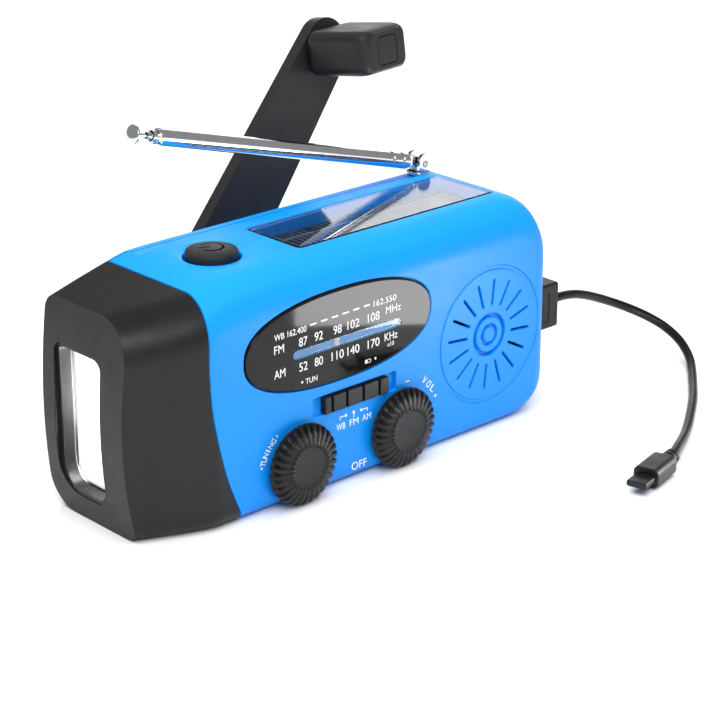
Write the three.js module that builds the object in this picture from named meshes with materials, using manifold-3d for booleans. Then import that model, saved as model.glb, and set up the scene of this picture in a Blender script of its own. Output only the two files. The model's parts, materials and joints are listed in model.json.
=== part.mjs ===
// Hand-crank emergency radio with a torch head, solar top, telescopic whip and charging lead.
// Millimetres, +Z up. Origin: centre of the underside. +X runs to the USB end, the torch is at -X,
// the dial faces -Y and the crank sits on the rear, +Y.
import * as THREE from "three";
import { mergeVertices } from "three/addons/utils/BufferGeometryUtils.js";
import Module from "manifold-3d";

const wasm = await Module();
wasm.setup();

// ---- driving dimensions -------------------------------------------------------------------
const GAP = 0.3;
const BODY = { left: -64, right: 64, front: -20, rear: 20, top: 57, wall: 2.2 };
const CORNER = { endTop: 13, endBottom: 14, section: [4, 2, 2, 10.5], plan: [0, 7, 4, 0] };
const COVER_FRONT = 18;
const LEDGE = { x0: -40, x1: 60, y: 13.4, z: 55.8 };
const HEAD = { tipTop: 53.4, tipFront: -11, tipRear: 17.5, bulge: 4.6, tipX: -62.6 };
const LENS = { y0: -2.6, y1: 12.6, z0: 7, z1: 41, x: -60.6 };
const SOLAR = { x0: -11.2, x1: 52.9, y0: -9.1, y1: 10.6 };
const POWER = { x: -28.7, y: 1.2, r: 6.2 };
const DIAL = { x: -8.3, z: 38.2, a: 29, b: 11.4, power: 2.35 };
const STRIP = { x0: -23.1, x1: 10.7, z: 36.6, height: 2.8 };
const POINTER = { x: -8.6 };
const KNOB = { z: 10.2, tuneX: -21.8, volumeX: 9.9, rBase: 9.6, rFace: 5.8, back: -21.3, front: -24.6 };
const BAND = { x: -3.8, z: 21.9, slot: 26.3, height: 4.7, slider: 20.2 };
const SPEAKER = { x: 41, z: 25.3, r: 17.2 };
const CRANK = {
  x: -22.5, z: 27, y: 24.6, turn: 41.8, flip: 12.3, length: 89.5, root: 22, tip: 16, thick: 4.4,
};
const HANDLE = { wide: 18.2, tall: 11.4, long: 19, gap: 0.6 };
const POCKET = { x: 57.3, y: 1, z0: 20.4, z1: 33.6, wall: 1.6 };
const WHIP = { x: 52, y: 17, z: 59.1, tilt: 15.3, length: 94, radii: [2.1, 1.5, 1.0, 0.5] };
const PORT = { y: -7, z: 22 };
const PLUG = { x1: 76.4, wide: 7, tall: 12.2 };
const GEAR = { module: 1, crank: 26, pinion: 10, wheel: 16, pressure: 25 };
const ROTOR = { x: 7.2, z: 34.2 };
const CORD = { r: 1.2 };
const CORD_ROUTE = [
  [76.7, -7, 22], [81.5, -7, 22], [86.2, -6.9, 21.3], [90.8, -6.7, 19.9], [96, -6.5, 17.8],
  [101.8, -6.9, 15.2], [107, -8.6, 12.6], [111, -11.9, 10.1], [113.2, -16.4, 7.7], [113.2, -21.6, 5.2],
  [110.6, -27, 3],
  [106, -31.9, 1.7], [100.2, -37, 1.3], [94.2, -42.1, 1.3], [88.6, -46.4, 1.3], [82.7, -50.6, 1.3],
  [77.8, -54, 1.3], [72.5, -57.4, 1.5], [67.6, -60.3, 2], [63, -62.9, 2.5], [58.8, -65.2, 2.7],
];
const CONNECTOR = { x: 57.6, y: -65.9, z: 2.8, heading: 195 };

// ---- solids from three.js geometry ----------------------------------------------------------
function solid(geometry) {
  const bare = geometry.index ? geometry.toNonIndexed() : geometry.clone();
  bare.deleteAttribute("normal");
  bare.deleteAttribute("uv");
  const merged = mergeVertices(bare, 1e-4);
  const corners = merged.index.array;
  const faces = [];
  for (let i = 0; i < corners.length; i += 3) {
    const [a, b, c] = [corners[i], corners[i + 1], corners[i + 2]];
    if (a !== b && b !== c && c !== a) faces.push(a, b, c);
  }
  const make = (list) => new wasm.Manifold(new wasm.Mesh({
    numProp: 3, vertProperties: merged.attributes.position.array, triVerts: new Uint32Array(list),
  }));
  const made = make(faces);
  if (made.volume() > 0) return made;
  const turned = [];
  for (let i = 0; i < faces.length; i += 3) turned.push(faces[i], faces[i + 2], faces[i + 1]);
  return make(turned);
}

function geometryOf(made) {
  const mesh = made.getMesh();
  return new THREE.BufferGeometry()
    .setAttribute("position", new THREE.BufferAttribute(mesh.vertProperties, 3))
    .setIndex(new THREE.BufferAttribute(mesh.triVerts, 1));
}

const TO_XZ = new THREE.Matrix4().makeRotationX(Math.PI / 2);
const TO_YZ = new THREE.Matrix4().makeBasis(
  new THREE.Vector3(0, 1, 0), new THREE.Vector3(0, 0, 1), new THREE.Vector3(1, 0, 0),
);

function extrude(shape, depth, arcs = 6) {
  return new THREE.ExtrudeGeometry(shape, { depth, bevelEnabled: false, curveSegments: arcs });
}
// A shape drawn in XZ, from y0 to y1.
const alongY = (shape, y0, y1, arcs) =>
  solid(extrude(shape, y1 - y0, arcs).applyMatrix4(TO_XZ).translate(0, y1, 0));
// A shape drawn in YZ, from x0 to x1.
const alongX = (shape, x0, x1, arcs) =>
  solid(extrude(shape, x1 - x0, arcs).applyMatrix4(TO_YZ).translate(x0, 0, 0));
// A shape drawn in XY, from z0 to z1.
const alongZ = (shape, z0, z1, arcs) => solid(extrude(shape, z1 - z0, arcs).translate(0, 0, z0));

function box(x0, x1, y0, y1, z0, z1) {
  const made = new THREE.BoxGeometry(x1 - x0, y1 - y0, z1 - z0);
  return solid(made.translate((x0 + x1) / 2, (y0 + y1) / 2, (z0 + z1) / 2));
}

const LATHE_TURN = {
  x: new THREE.Matrix4().makeRotationZ(-Math.PI / 2),
  y: new THREE.Matrix4(),
  z: new THREE.Matrix4().makeRotationX(Math.PI / 2),
};
// A profile of [radius, distance along the axis] pairs turned about an axis through a point.
function lathe(axis, at, profile, sides = 24) {
  const outline = profile.map(([r, h]) => new THREE.Vector2(r, h));
  const turned = new THREE.LatheGeometry(outline, sides).applyMatrix4(LATHE_TURN[axis]);
  return solid(turned.translate(...at));
}
function rod(axis, at, radius, from, to, sides = 16) {
  return lathe(axis, at, [[0, from], [radius, from], [radius, to], [0, to]], sides);
}
function tube(axis, at, outer, inner, from, to, sides = 16) {
  return lathe(axis, at, [[inner, from], [outer, from], [outer, to], [inner, to], [inner, from]], sides);
}

const joined = (...parts) => parts.reduce((sum, part) => sum.add(part));
const cut = (from, ...tools) => tools.reduce((rest, tool) => rest.subtract(tool), from);

const MATERIALS = {
  shell: [0x0a93f2, 0.42, 0], black: [0x1c1c1e, 0.55, 0], grey: [0x333436, 0.5, 0],
  gloss: [0x0b0b0d, 0.12, 0], clear: [0xdfe9f0, 0.08, 0], chrome: [0xd8dadc, 0.14, 1],
  steel: [0xa9adb2, 0.35, 1], copper: [0xb8733a, 0.4, 1], board: [0x1f6b3a, 0.6, 0],
  cell: [0x16202c, 0.2, 0.1], white: [0xf2f2f0, 0.5, 0], paper: [0x2a2c30, 0.85, 0],
  ferrite: [0x3a3a3e, 0.75, 0], nylon: [0xe6e2d6, 0.55, 0], brass: [0xc9a24b, 0.3, 1],
  backing: [0x2f6fae, 0.5, 0], wrap: [0x2f7fd0, 0.4, 0],
};
const radio = new THREE.Group();

function add(parent, name, made, finish) {
  const [color, roughness, metalness] = MATERIALS[finish];
  const material = new THREE.MeshStandardMaterial({ color, roughness, metalness });
  const mesh = new THREE.Mesh(geometryOf(made), material);
  mesh.name = name;
  parent.add(mesh);
  return mesh;
}

// ---- outlines -------------------------------------------------------------------------------
// A rectangle with its own radius at each corner: [low-left, low-right, high-right, high-left].
function roundedBox(x0, x1, y0, y1, [a, b, c, d]) {
  const s = new THREE.Shape();
  s.moveTo(x0 + a, y0).lineTo(x1 - b, y0);
  if (b > 0) s.absarc(x1 - b, y0 + b, b, -Math.PI / 2, 0, false);
  s.lineTo(x1, y1 - c);
  if (c > 0) s.absarc(x1 - c, y1 - c, c, 0, Math.PI / 2, false);
  s.lineTo(x0 + d, y1);
  if (d > 0) s.absarc(x0 + d, y1 - d, d, Math.PI / 2, Math.PI, false);
  s.lineTo(x0, y0 + a);
  if (a > 0) s.absarc(x0 + a, y0 + a, a, Math.PI, Math.PI * 1.5, false);
  return s;
}
function superellipse(x, z, a, b, power, steps = 48) {
  const s = new THREE.Shape();
  for (let i = 0; i < steps; i++) {
    const t = (i / steps) * 2 * Math.PI;
    const px = x + a * Math.sign(Math.cos(t)) * Math.abs(Math.cos(t)) ** (2 / power);
    const pz = z + b * Math.sign(Math.sin(t)) * Math.abs(Math.sin(t)) ** (2 / power);
    if (i) s.lineTo(px, pz);
    else s.moveTo(px, pz);
  }
  return s;
}
// The whole case without its head: three extrusions intersected, all faces moved in by inset,
// and the rear face by an inset of its own.
function caseSolid(inset, rearInset = inset) {
  const [x0, x1] = [-70, BODY.right - inset];
  const [y0, y1] = [BODY.front + inset, BODY.rear - rearInset];
  const [z0, z1] = [inset, BODY.top - inset];
  const side = new THREE.Shape();
  const [rTop, rLow] = [CORNER.endTop - inset, CORNER.endBottom - inset];
  side.moveTo(x0, z0).lineTo(x1 - rLow, z0);
  side.absarc(x1 - rLow, z0 + rLow, rLow, -Math.PI / 2, 0, false);
  side.lineTo(x1, z1 - rTop);
  side.absarc(x1 - rTop, z1 - rTop, rTop, 0, Math.PI / 2, false);
  side.lineTo(-30, z1);
  side.quadraticCurveTo(-40, z1, -47, z1 - 2.6);
  side.lineTo(x0, z1 - 12);
  const shrink = (radii) => radii.map((r) => Math.max(r - inset, 0));
  const profile = roundedBox(y0, y1, z0, z1, shrink(CORNER.section));
  const plan = roundedBox(x0, x1, y0, y1, shrink(CORNER.plan));
  return alongY(side, -30, 30).intersect(alongX(profile, -80, 80)).intersect(alongZ(plan, -10, 70));
}
// Everything on the torch side of the S-shaped joint line.
function headSide(shift) {
  const line = [[-37.4, -3], [-37.9, 0], [-40.5, 6], [-43, 13], [-45.2, 22], [-46.4, 30], [-46.8, 40],
    [-46.3, 50], [-44.6, 58], [-44.2, 61]];
  const curve = new THREE.SplineCurve(line.map(([x, z]) => new THREE.Vector2(x + shift, z)));
  const s = new THREE.Shape([...curve.getPoints(22), new THREE.Vector2(-90, 61), new THREE.Vector2(-90, -3)]);
  return alongY(s, -40, 40);
}

const SCREWS = [[-39, 46.5], [56, 46.5], [-36.3, 6.6], [57, 8.8]];
const outer = caseSolid(0);
const inner = caseSolid(BODY.wall);
const ledgeCut = box(LEDGE.x0, LEDGE.x1, LEDGE.y, 25, LEDGE.z, 70);
const pocketCut = box(POCKET.x, 80, POCKET.y, 30, POCKET.z0, POCKET.z1);
const { wall: skin } = POCKET;

// ---- front shell ----------------------------------------------------------------------------
function frontShell() {
  const pocketBlock = box(POCKET.x - skin, 80, POCKET.y - skin, 17.7, POCKET.z0 - skin, POCKET.z1 + skin);
  const trayBlock = box(SOLAR.x0 - 1.8, SOLAR.x1 + 1.8, SOLAR.y0 - 1.8, SOLAR.y1 + 1.8, 50.2, 55.5);
  const bosses = SCREWS.map(([x, z]) => rod("y", [x, 0, z], 2.8, -18.4, 17.4, 12));
  let shell = outer.subtract(inner).add(pocketBlock.intersect(outer)).add(trayBlock);
  for (const boss of bosses) shell = shell.add(boss);
  const slots = [];
  for (let i = 0; i < 16; i++) {
    const blade = new THREE.BoxGeometry(8, 8, 1.1).translate(11.4, 0, 0).rotateY((i * Math.PI) / 8 + 0.1);
    slots.push(solid(blade.translate(SPEAKER.x, -20, SPEAKER.z)));
  }
  shell = cut(
    shell,
    headSide(0.15),
    box(-80, 80, 17.7, 40, -10, 80),
    ledgeCut,
    pocketCut,
    box(SOLAR.x0, SOLAR.x1, SOLAR.y0, SOLAR.y1, 55.4, 70),
    box(SOLAR.x0 + 1, SOLAR.x1 - 1, SOLAR.y0 + 1, SOLAR.y1 - 1, 51.4, 70),
    box(SOLAR.x0 + 2.5, SOLAR.x1 - 2.5, SOLAR.y0 + 2.5, SOLAR.y1 - 2.5, 45, 70),
    rod("z", [POWER.x, POWER.y, 0], POWER.r + 0.4, 50, 60, 28),
    alongY(superellipse(DIAL.x, DIAL.z, DIAL.a, DIAL.b, DIAL.power), -26, -18.8),
    alongY(superellipse(DIAL.x, DIAL.z, DIAL.a - 1.4, DIAL.b - 1.4, DIAL.power), -19,
      BODY.front + BODY.wall + 2),
    rod("y", [KNOB.tuneX, 0, KNOB.z], 3.7, -22, -16, 16),
    rod("y", [KNOB.volumeX, 0, KNOB.z], 3.7, -22, -16, 16),
    box(BAND.x - BAND.slot / 2, BAND.x + BAND.slot / 2, -22, -19, BAND.z - BAND.height / 2,
      BAND.z + BAND.height / 2),
    box(BAND.x - 5, BAND.x + 5, -22, -16, BAND.z - 1.3, BAND.z + 1.3),
    ...slots,
    box(60, 70, PORT.y - 3.4, PORT.y + 3.4, PORT.z - 7.1, PORT.z + 7.1),
    box(60, 70, 5.4, 14.2, 36.7, 40.3),
    rod("z", [WHIP.x, WHIP.y, 0], 2.3, 50, 60, 16),
    ...SCREWS.map(([x, z]) => rod("y", [x, 0, z], 1.2, 4, 20, 10)),
  );
  return shell;
}
add(radio, "front_shell", frontShell(), "shell");

// ---- rear cover -----------------------------------------------------------------------------
function rearCover() {
  const lip = caseSolid(2.55, -1).subtract(caseSolid(3.8, -2)).intersect(box(-80, 80, 16.2, 18.4, -10, 80));
  const clearances = SCREWS.map(([x, z]) => rod("y", [x, 0, z], 3.3, 10, 17.7, 12));
  const lipCut = cut(
    lip,
    headSide(1.2),
    box(45, 80, 10, 17.7, 18, 36),
    box(60.3, 80, 10, 17.7, -10, 80),
    box(45, 58, 10, 17.7, 48, 60),
    ...clearances,
  );
  const plate = outer.intersect(box(-80, 80, COVER_FRONT, 30, -10, 80)).add(lipCut);
  return cut(
    plate,
    headSide(0.15),
    ledgeCut,
    pocketCut,
    rod("y", [CRANK.x, 0, CRANK.z], 6, 10, 30, 24),
    rod("z", [WHIP.x, WHIP.y, 0], 2.3, 40, 60, 16),
    ...SCREWS.map(([x, z]) => rod("y", [x, 0, z], 1.9, 10, 30, 12)),
    ...SCREWS.map(([x, z]) => rod("y", [x, 0, z], 3.2, 19, 30, 12)),
  );
}
add(radio, "rear_cover", rearCover(), "shell");
SCREWS.forEach(([x, z], i) => {
  const slot = new THREE.BoxGeometry(3.6, 1.2, 0.7).translate(x, 20, z);
  const screw = joined(rod("y", [x, 0, z], 0.9, 6, 19.4, 10), rod("y", [x, 0, z], 2.8, 19.3, 20, 14));
  add(radio, "cover_screw_" + (i + 1), screw.subtract(solid(slot)), "steel");
});

// ---- torch head -----------------------------------------------------------------------------
// A section of the head in YZ at one station, as a ring of points for lofting.
function headRing(x, front, rear, top, bottom, rounds, inset) {
  const shape = roundedBox(front + inset, rear - inset, bottom + inset, top - inset,
    rounds.map((r) => Math.max(r - inset, 0.3)));
  const points = shape.getPoints(4);
  return points
    .filter((p, i) => p.distanceTo(points[(i + 1) % points.length]) > 1e-6)
    .map((p) => new THREE.Vector3(x, p.x, p.y));
}
// Skins a row of rings with equal numbers of points: capped at both ends, or closed into a loop.
function loft(rings, loop = false) {
  const n = rings[0].length;
  const positions = [];
  const push = (...points) => points.forEach((p) => positions.push(p.x, p.y, p.z));
  const pairs = rings.slice(1).map((ring, k) => [rings[k], ring]);
  if (loop) pairs.push([rings[rings.length - 1], rings[0]]);
  for (const [a, b] of pairs) {
    for (let i = 0; i < n; i++) {
      const j = (i + 1) % n;
      push(a[i], a[j], b[j]);
      push(a[i], b[j], b[i]);
    }
  }
  const cap = (ring, flip) => {
    const centre = ring.reduce((sum, p) => sum.add(p), new THREE.Vector3()).divideScalar(n);
    for (let i = 0; i < n; i++) {
      const j = (i + 1) % n;
      if (flip) push(centre, ring[j], ring[i]);
      else push(centre, ring[i], ring[j]);
    }
  };
  if (!loop) {
    cap(rings[0], true);
    cap(rings[rings.length - 1], false);
  }
  const geometry = new THREE.BufferGeometry();
  return solid(geometry.setAttribute("position", new THREE.Float32BufferAttribute(positions, 3)));
}
// The head carries on from the case's own section and narrows towards the tip.
function headSolid(inset) {
  const [start, end] = [-45.5, -66];
  const rings = [0, 0.25, 0.5, 0.75, 1].map((t) => {
    const x = THREE.MathUtils.lerp(start, end, t);
    const front = THREE.MathUtils.lerp(BODY.front, HEAD.tipFront, t ** 1.2);
    const rear = THREE.MathUtils.lerp(BODY.rear, HEAD.tipRear, t ** 1.2);
    const top = THREE.MathUtils.lerp(54.9, HEAD.tipTop - 2, t);
    const lowRear = THREE.MathUtils.lerp(2, 9, t);
    const topRear = THREE.MathUtils.lerp(2, 4, t);
    return headRing(x, front, rear, top, 0, [4, lowRear, topRear, 10.5], inset);
  });
  return loft(rings).add(caseSolid(inset).intersect(box(-46, 80, -40, 40, -10, 80)));
}
// The tip is cut to a face that bows out between floor and top.
function tipCutter(shift) {
  const s = new THREE.Shape();
  s.moveTo(HEAD.tipX + shift, -3);
  s.quadraticCurveTo(BODY.left - HEAD.bulge + shift, 24, HEAD.tipX + 0.4 + shift, HEAD.tipTop + 3);
  s.lineTo(-20, HEAD.tipTop + 12).lineTo(-20, -3);
  return alongY(s, -40, 40, 8);
}
function torchBezel() {
  const hull = headSolid(0).intersect(tipCutter(0)).intersect(headSide(-0.15));
  const core = headSolid(2).intersect(tipCutter(4.6));
  const mouth = alongX(roundedBox(LENS.y0, LENS.y1, LENS.z0, LENS.z1, [2.5, 6, 1.5, 2.5]), -80, -50);
  const seatSize = [LENS.y0 - 1.3, LENS.y1 + 1.3, LENS.z0 - 1.3, LENS.z1 + 1.3];
  const seat = alongX(roundedBox(...seatSize, [3, 6, 2.5, 3]), LENS.x - 0.3, -50);
  return cut(hull, core, mouth, seat);
}
add(radio, "torch_bezel", torchBezel(), "black");
const lensShape = roundedBox(LENS.y0 - 1, LENS.y1 + 1, LENS.z0 - 1, LENS.z1 + 1, [2.7, 5.7, 2.2, 2.7]);
add(radio, "torch_lens", alongX(lensShape, LENS.x, LENS.x + 1.2), "clear");
function reflector() {
  const radii = [2.4, 2.8, 2.4, 2.4];
  const ring = (x, grow) => headRing(x, LENS.y0 - 0.6 + grow, LENS.y1 + 0.6 - grow,
    LENS.z1 + 0.6 - grow * 1.6, LENS.z0 - 0.6 + grow * 1.6, radii, 0);
  const outside = [ring(-51, 4.6), ring(-54.9, 2.2), ring(-59.1, 0)];
  const inside = [ring(-59.1, 0.8), ring(-54.9, 3.1), ring(-51, 5.5)];
  return loft([...outside, ...inside], true);
}
add(radio, "torch_reflector", reflector(), "chrome");
const lensMid = { y: (LENS.y0 + LENS.y1) / 2, z: (LENS.z0 + LENS.z1) / 2 };
const ledBoard = joined(
  box(-50.6, -49.6, lensMid.y - 7, lensMid.y + 7, lensMid.z - 9, lensMid.z + 9),
  lathe("x", [0, lensMid.y, lensMid.z], [[0, -54.4], [1.2, -54], [1.9, -52.8], [2, -49.7], [0, -49.7]], 16),
);
add(radio, "torch_led", ledBoard, "white");

// ---- solar top and torch button --------------------------------------------------------------
const solarPlate = (edge, low, high) =>
  box(SOLAR.x0 + edge, SOLAR.x1 - edge, SOLAR.y0 + edge, SOLAR.y1 - edge, low, high);
add(radio, "solar_window", solarPlate(GAP, 55.7, 57), "clear");
add(radio, "solar_panel", solarPlate(1 + GAP, 51.7, 53), "cell");
const buttonProfile = [
  [0, 52.4], [2, 52.4], [2, 54.4], [POWER.r, 54.4], [POWER.r, 57.6], [POWER.r - 0.7, 58.4],
  [POWER.r - 1.9, 58.8], [0, 58.9],
];
add(radio, "torch_button", lathe("z", [POWER.x, POWER.y, 0], buttonProfile, 28), "grey");
add(radio, "torch_switch", box(POWER.x - 4, POWER.x + 4, -2.2, 4.8, 47.6, 51.3), "black");

// ---- dial -------------------------------------------------------------------------------------
const windowShape = superellipse(DIAL.x, DIAL.z, DIAL.a - GAP, DIAL.b - GAP, DIAL.power);
const stripHalf = STRIP.height / 2;
const stripEnds = [1.3, 1.3, 1.3, 1.3];
const stripCut = roundedBox(STRIP.x0, STRIP.x1, STRIP.z - stripHalf, STRIP.z + stripHalf, stripEnds);
add(radio, "dial_window", alongY(windowShape, -20.3, -19.1).subtract(alongY(stripCut, -25, -15, 3)), "gloss");
add(radio, "dial_backing", box(STRIP.x0 - 1, STRIP.x1 + 1, -17.5, -16.8, 34.4, 39.4), "backing");
const pointer = joined(
  box(POINTER.x - 0.5, POINTER.x + 0.5, -18.7, -17.9, 33.4, 38.6),
  box(POINTER.x - 0.5, POINTER.x + 0.5, -18.7, -15.6, 33.2, 34),
  box(POINTER.x - 2.5, POINTER.x + 2.5, -16.4, -15.4, 33.2, 38.6),
);
add(radio, "dial_pointer", pointer, "white");

// ---- knobs, band switch -----------------------------------------------------------------------
function knob(x, shaftEnd) {
  const { rBase, rFace, back, front } = KNOB;
  const body = lathe("y", [x, 0, KNOB.z], [
    [0, shaftEnd], [2.4, shaftEnd], [2.4, back + 0.9], [5, back + 0.9], [5, back], [rBase - 0.4, back],
    [rBase, back - 0.6], [rBase - 0.4, back - 1.3], [rFace + 1, front + 0.5], [rFace, front], [0, front],
  ].reverse(), 24);
  const flutes = [];
  for (let i = 0; i < 12; i++) {
    const bar = new THREE.BoxGeometry(1.2, 9, 0.9).translate(rBase + 0.15, back - 3.5, 0);
    flutes.push(solid(bar.rotateY((i * Math.PI) / 6).translate(x, 0, KNOB.z)));
  }
  return cut(body, ...flutes);
}
add(radio, "tuning_knob", knob(KNOB.tuneX, -15.5), "black");
add(radio, "volume_knob", knob(KNOB.volumeX, -9.4), "black");
const drum = tube("y", [KNOB.tuneX, 0, KNOB.z], 7.6, 2.7, -14.8, -13.2, 24);
add(radio, "tuning_drum", joined(drum, rod("y", [KNOB.tuneX, 0, KNOB.z], 3.2, -15.1, -12.6)), "nylon");
const capacitor = cut(
  box(KNOB.tuneX - 9, KNOB.tuneX + 10, -12.2, -5, KNOB.z - 7.6, KNOB.z + 10),
  box(-41, KNOB.tuneX - 8, -20, 0, 0, 6),
);
add(radio, "tuning_capacitor", capacitor, "clear");
const pot = joined(
  tube("y", [KNOB.volumeX, 0, KNOB.z], 3.4, 2.75, -17.6, -12.6, 16),
  tube("y", [KNOB.volumeX, 0, KNOB.z], 7.6, 2.75, -12.8, -9.1, 20),
  rod("y", [KNOB.volumeX, 0, KNOB.z], 7.6, -9.1, -5.4, 20),
);
add(radio, "volume_control", pot, "steel");
function bandSlider() {
  const half = BAND.slider / 2;
  const body = joined(
    box(BAND.x - half, BAND.x + half, -20.9, -19.25, BAND.z - 2.05, BAND.z + 2.05),
    box(BAND.x - 2.5, BAND.x + 2.5, -19.3, -16.4, BAND.z - 0.9, BAND.z + 0.9),
  );
  const grooves = [-8.4, -6.4, -4.4, 4.4, 6.4, 8.4].map((x) =>
    box(BAND.x + x - 0.4, BAND.x + x + 0.4, -22, -20.4, BAND.z - 3, BAND.z + 3));
  return cut(body, ...grooves);
}
add(radio, "band_slider", bandSlider(), "black");
const bandBody = cut(
  box(BAND.x - 9, BAND.x + 9, -17.4, -13.6, BAND.z - 3.3, BAND.z + 4.4),
  box(BAND.x - 5, BAND.x + 5, -18, -15.9, BAND.z - 1.3, BAND.z + 1.3),
  rod("y", [KNOB.volumeX, 0, KNOB.z], 9.8, -20, -10),
);
add(radio, "band_switch", bandBody, "steel");

// ---- speaker ----------------------------------------------------------------------------------
const speakerFrame = lathe("y", [SPEAKER.x, 0, SPEAKER.z], [
  [0, -7.8], [7.2, -7.8], [7.2, -9.6], [13.6, -15.4], [15.2, -16.2], [15.2, -17.4],
  [SPEAKER.r - 0.6, -17.4], [SPEAKER.r - 0.6, -15.4], [14.4, -15.2], [8.6, -10], [8.6, -3.6], [0, -3.6],
], 32);
add(radio, "speaker_frame", speakerFrame, "steel");
const cone = lathe("y", [SPEAKER.x, 0, SPEAKER.z], [
  [0, -15.4], [3, -14.9], [5, -13.6], [11.4, -16.2], [14.4, -16.9], [14.4, -16.3], [11.6, -15.6],
  [5.4, -12.6], [5.4, -8.4], [0, -8.4],
], 24);
add(radio, "speaker_cone", cone, "paper");

// ---- electronics ------------------------------------------------------------------------------
add(radio, "main_board", box(-34.4, 21.5, -4.6, -3.2, 10, 47), "board");
add(radio, "battery_cell", rod("x", [0, 7, 11.9], 8.9, -10.5, 53.9, 24), "wrap");
add(radio, "ferrite_rod", rod("x", [0, 8, 45.9], 3, -6, 50, 12), "ferrite");
add(radio, "aerial_coil", tube("x", [0, 8, 45.9], 4.1, 3.3, 26, 42, 16), "copper");
const usbSocket = cut(
  box(50.9, 63.2, PORT.y - 3, PORT.y + 3, PORT.z - 6.8, PORT.z + 6.8),
  box(51.4, 70, PORT.y - 2.55, PORT.y + 2.55, PORT.z - 6.35, PORT.z + 6.35),
);
add(radio, "usb_socket", usbSocket, "steel");
const chargeSocket = cut(box(55, 61.6, 5.9, 13.7, 37.1, 39.9), box(56, 70, 6.4, 13.2, 37.6, 39.4));
add(radio, "charge_socket", chargeSocket, "steel");

// ---- crank generator --------------------------------------------------------------------------
// Involute teeth of module 1; phase is the angle of the middle of one tooth, measured from +X to +Z.
function gear(teeth, phase, x, z, y0, y1, bore, backlash = 0.16) {
  const pitch = (teeth * GEAR.module) / 2;
  const base = pitch * Math.cos(THREE.MathUtils.degToRad(GEAR.pressure));
  const [tip, root] = [pitch + 0.72, pitch - 1.05];
  const inv = (r) => {
    const a = Math.acos(Math.min(base / r, 1));
    return Math.tan(a) - a;
  };
  const halfAt = (r) => Math.PI / (2 * teeth) - backlash / (2 * pitch) + inv(pitch) - inv(Math.max(r, base));
  const radii = [root, Math.max(base, root + 0.05), pitch, tip];
  const shape = new THREE.Shape();
  for (let i = 0; i < teeth; i++) {
    const middle = phase + (i * 2 * Math.PI) / teeth;
    const flank = radii.map((r) => [r, halfAt(r)]);
    const rising = flank.map(([r, h]) => [r, middle - h]);
    const falling = flank.map(([r, h]) => [r, middle + h]).reverse();
    const outline = [...rising, ...falling];
    outline.forEach(([r, angle], k) => {
      const [px, pz] = [x + r * Math.cos(angle), z + r * Math.sin(angle)];
      if (i || k) shape.lineTo(px, pz);
      else shape.moveTo(px, pz);
    });
  }
  const blank = alongY(shape, y0, y1);
  return bore ? blank.subtract(rod("y", [x, 0, z], bore, y0 - 1, y1 + 1, 16)) : blank;
}
// Phase of a follower whose gap meets the driver's tooth on the line of centres.
function meshPhase(driverTeeth, driverPhase, followerTeeth, direction) {
  const turns = ((direction - driverPhase) * driverTeeth) / (2 * Math.PI);
  return direction + Math.PI - ((0.5 - turns) * 2 * Math.PI) / followerTeeth;
}
const reach1 = (GEAR.crank + GEAR.pinion) / 2;
const reach2 = (GEAR.wheel + GEAR.pinion) / 2;
const toRotor = { x: ROTOR.x - CRANK.x, z: ROTOR.z - CRANK.z };
const spanRotor = Math.hypot(toRotor.x, toRotor.z);
const lean = Math.acos((reach1 ** 2 + spanRotor ** 2 - reach2 ** 2) / (2 * reach1 * spanRotor));
const toIdler = Math.atan2(toRotor.z, toRotor.x) + lean;
const IDLER = { x: CRANK.x + reach1 * Math.cos(toIdler), z: CRANK.z + reach1 * Math.sin(toIdler) };
const idlerToRotor = Math.atan2(ROTOR.z - IDLER.z, ROTOR.x - IDLER.x);
const idlerPhase = meshPhase(GEAR.crank, 0, GEAR.pinion, toIdler);
const rotorPhase = meshPhase(GEAR.wheel, idlerPhase, GEAR.pinion, idlerToRotor);

const [cx, cz] = [CRANK.x, CRANK.z];
add(radio, "crank_gear", gear(GEAR.crank, 0, cx, cz, 11.5, 13.5, 3.05), "nylon");
const idler = joined(
  gear(GEAR.pinion, idlerPhase, IDLER.x, IDLER.z, 9, 14, 0),
  gear(GEAR.wheel, idlerPhase, IDLER.x, IDLER.z, 7, 9.2, 0),
).subtract(rod("y", [IDLER.x, 0, IDLER.z], 1.3, 5, 16, 12));
add(radio, "idler_gear", idler, "nylon");
const idlerAxle = rod("y", [IDLER.x, 0, IDLER.z], 1, 6, 17.4, 12);
add(radio, "idler_axle", idlerAxle, "steel");
const rotor = joined(
  gear(GEAR.pinion, rotorPhase, ROTOR.x, ROTOR.z, 6.6, 9.4, 0),
  rod("y", [ROTOR.x, 0, ROTOR.z], 1, -0.6, 7, 12),
  rod("y", [ROTOR.x, 0, ROTOR.z], 6.6, -0.4, 4, 16),
);
add(radio, "dynamo_rotor", rotor, "brass");
const stator = cut(
  rod("y", [ROTOR.x, 0, ROTOR.z], 9.6, -2.4, 5.8, 24),
  rod("y", [ROTOR.x, 0, ROTOR.z], 7.4, -1.2, 4.6, 24),
  rod("y", [ROTOR.x, 0, ROTOR.z], 1.5, 4, 8, 12),
);
add(radio, "dynamo_stator", stator, "copper");
const plateShape = new THREE.Shape();
plateShape.moveTo(-36, 12).lineTo(-5, 20.6).lineTo(16, 22).lineTo(16, 40).lineTo(-36, 40);
const gearPlate = cut(
  alongY(plateShape, 14.6, 15.8),
  rod("y", [cx, 0, cz], 3.4, 10, 20, 16),
  rod("y", [IDLER.x, 0, IDLER.z], 1.3, 10, 20, 12),
);
add(radio, "gearbox_plate", gearPlate, "steel");
const bush = joined(
  tube("y", [cx, 0, cz], 5.7, 3.3, 16.1, 20.6, 24),
  tube("y", [cx, 0, cz], 8.4, 3.3, 20.3, 21.1, 24),
);
add(radio, "crank_bush", bush, "nylon");

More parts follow.
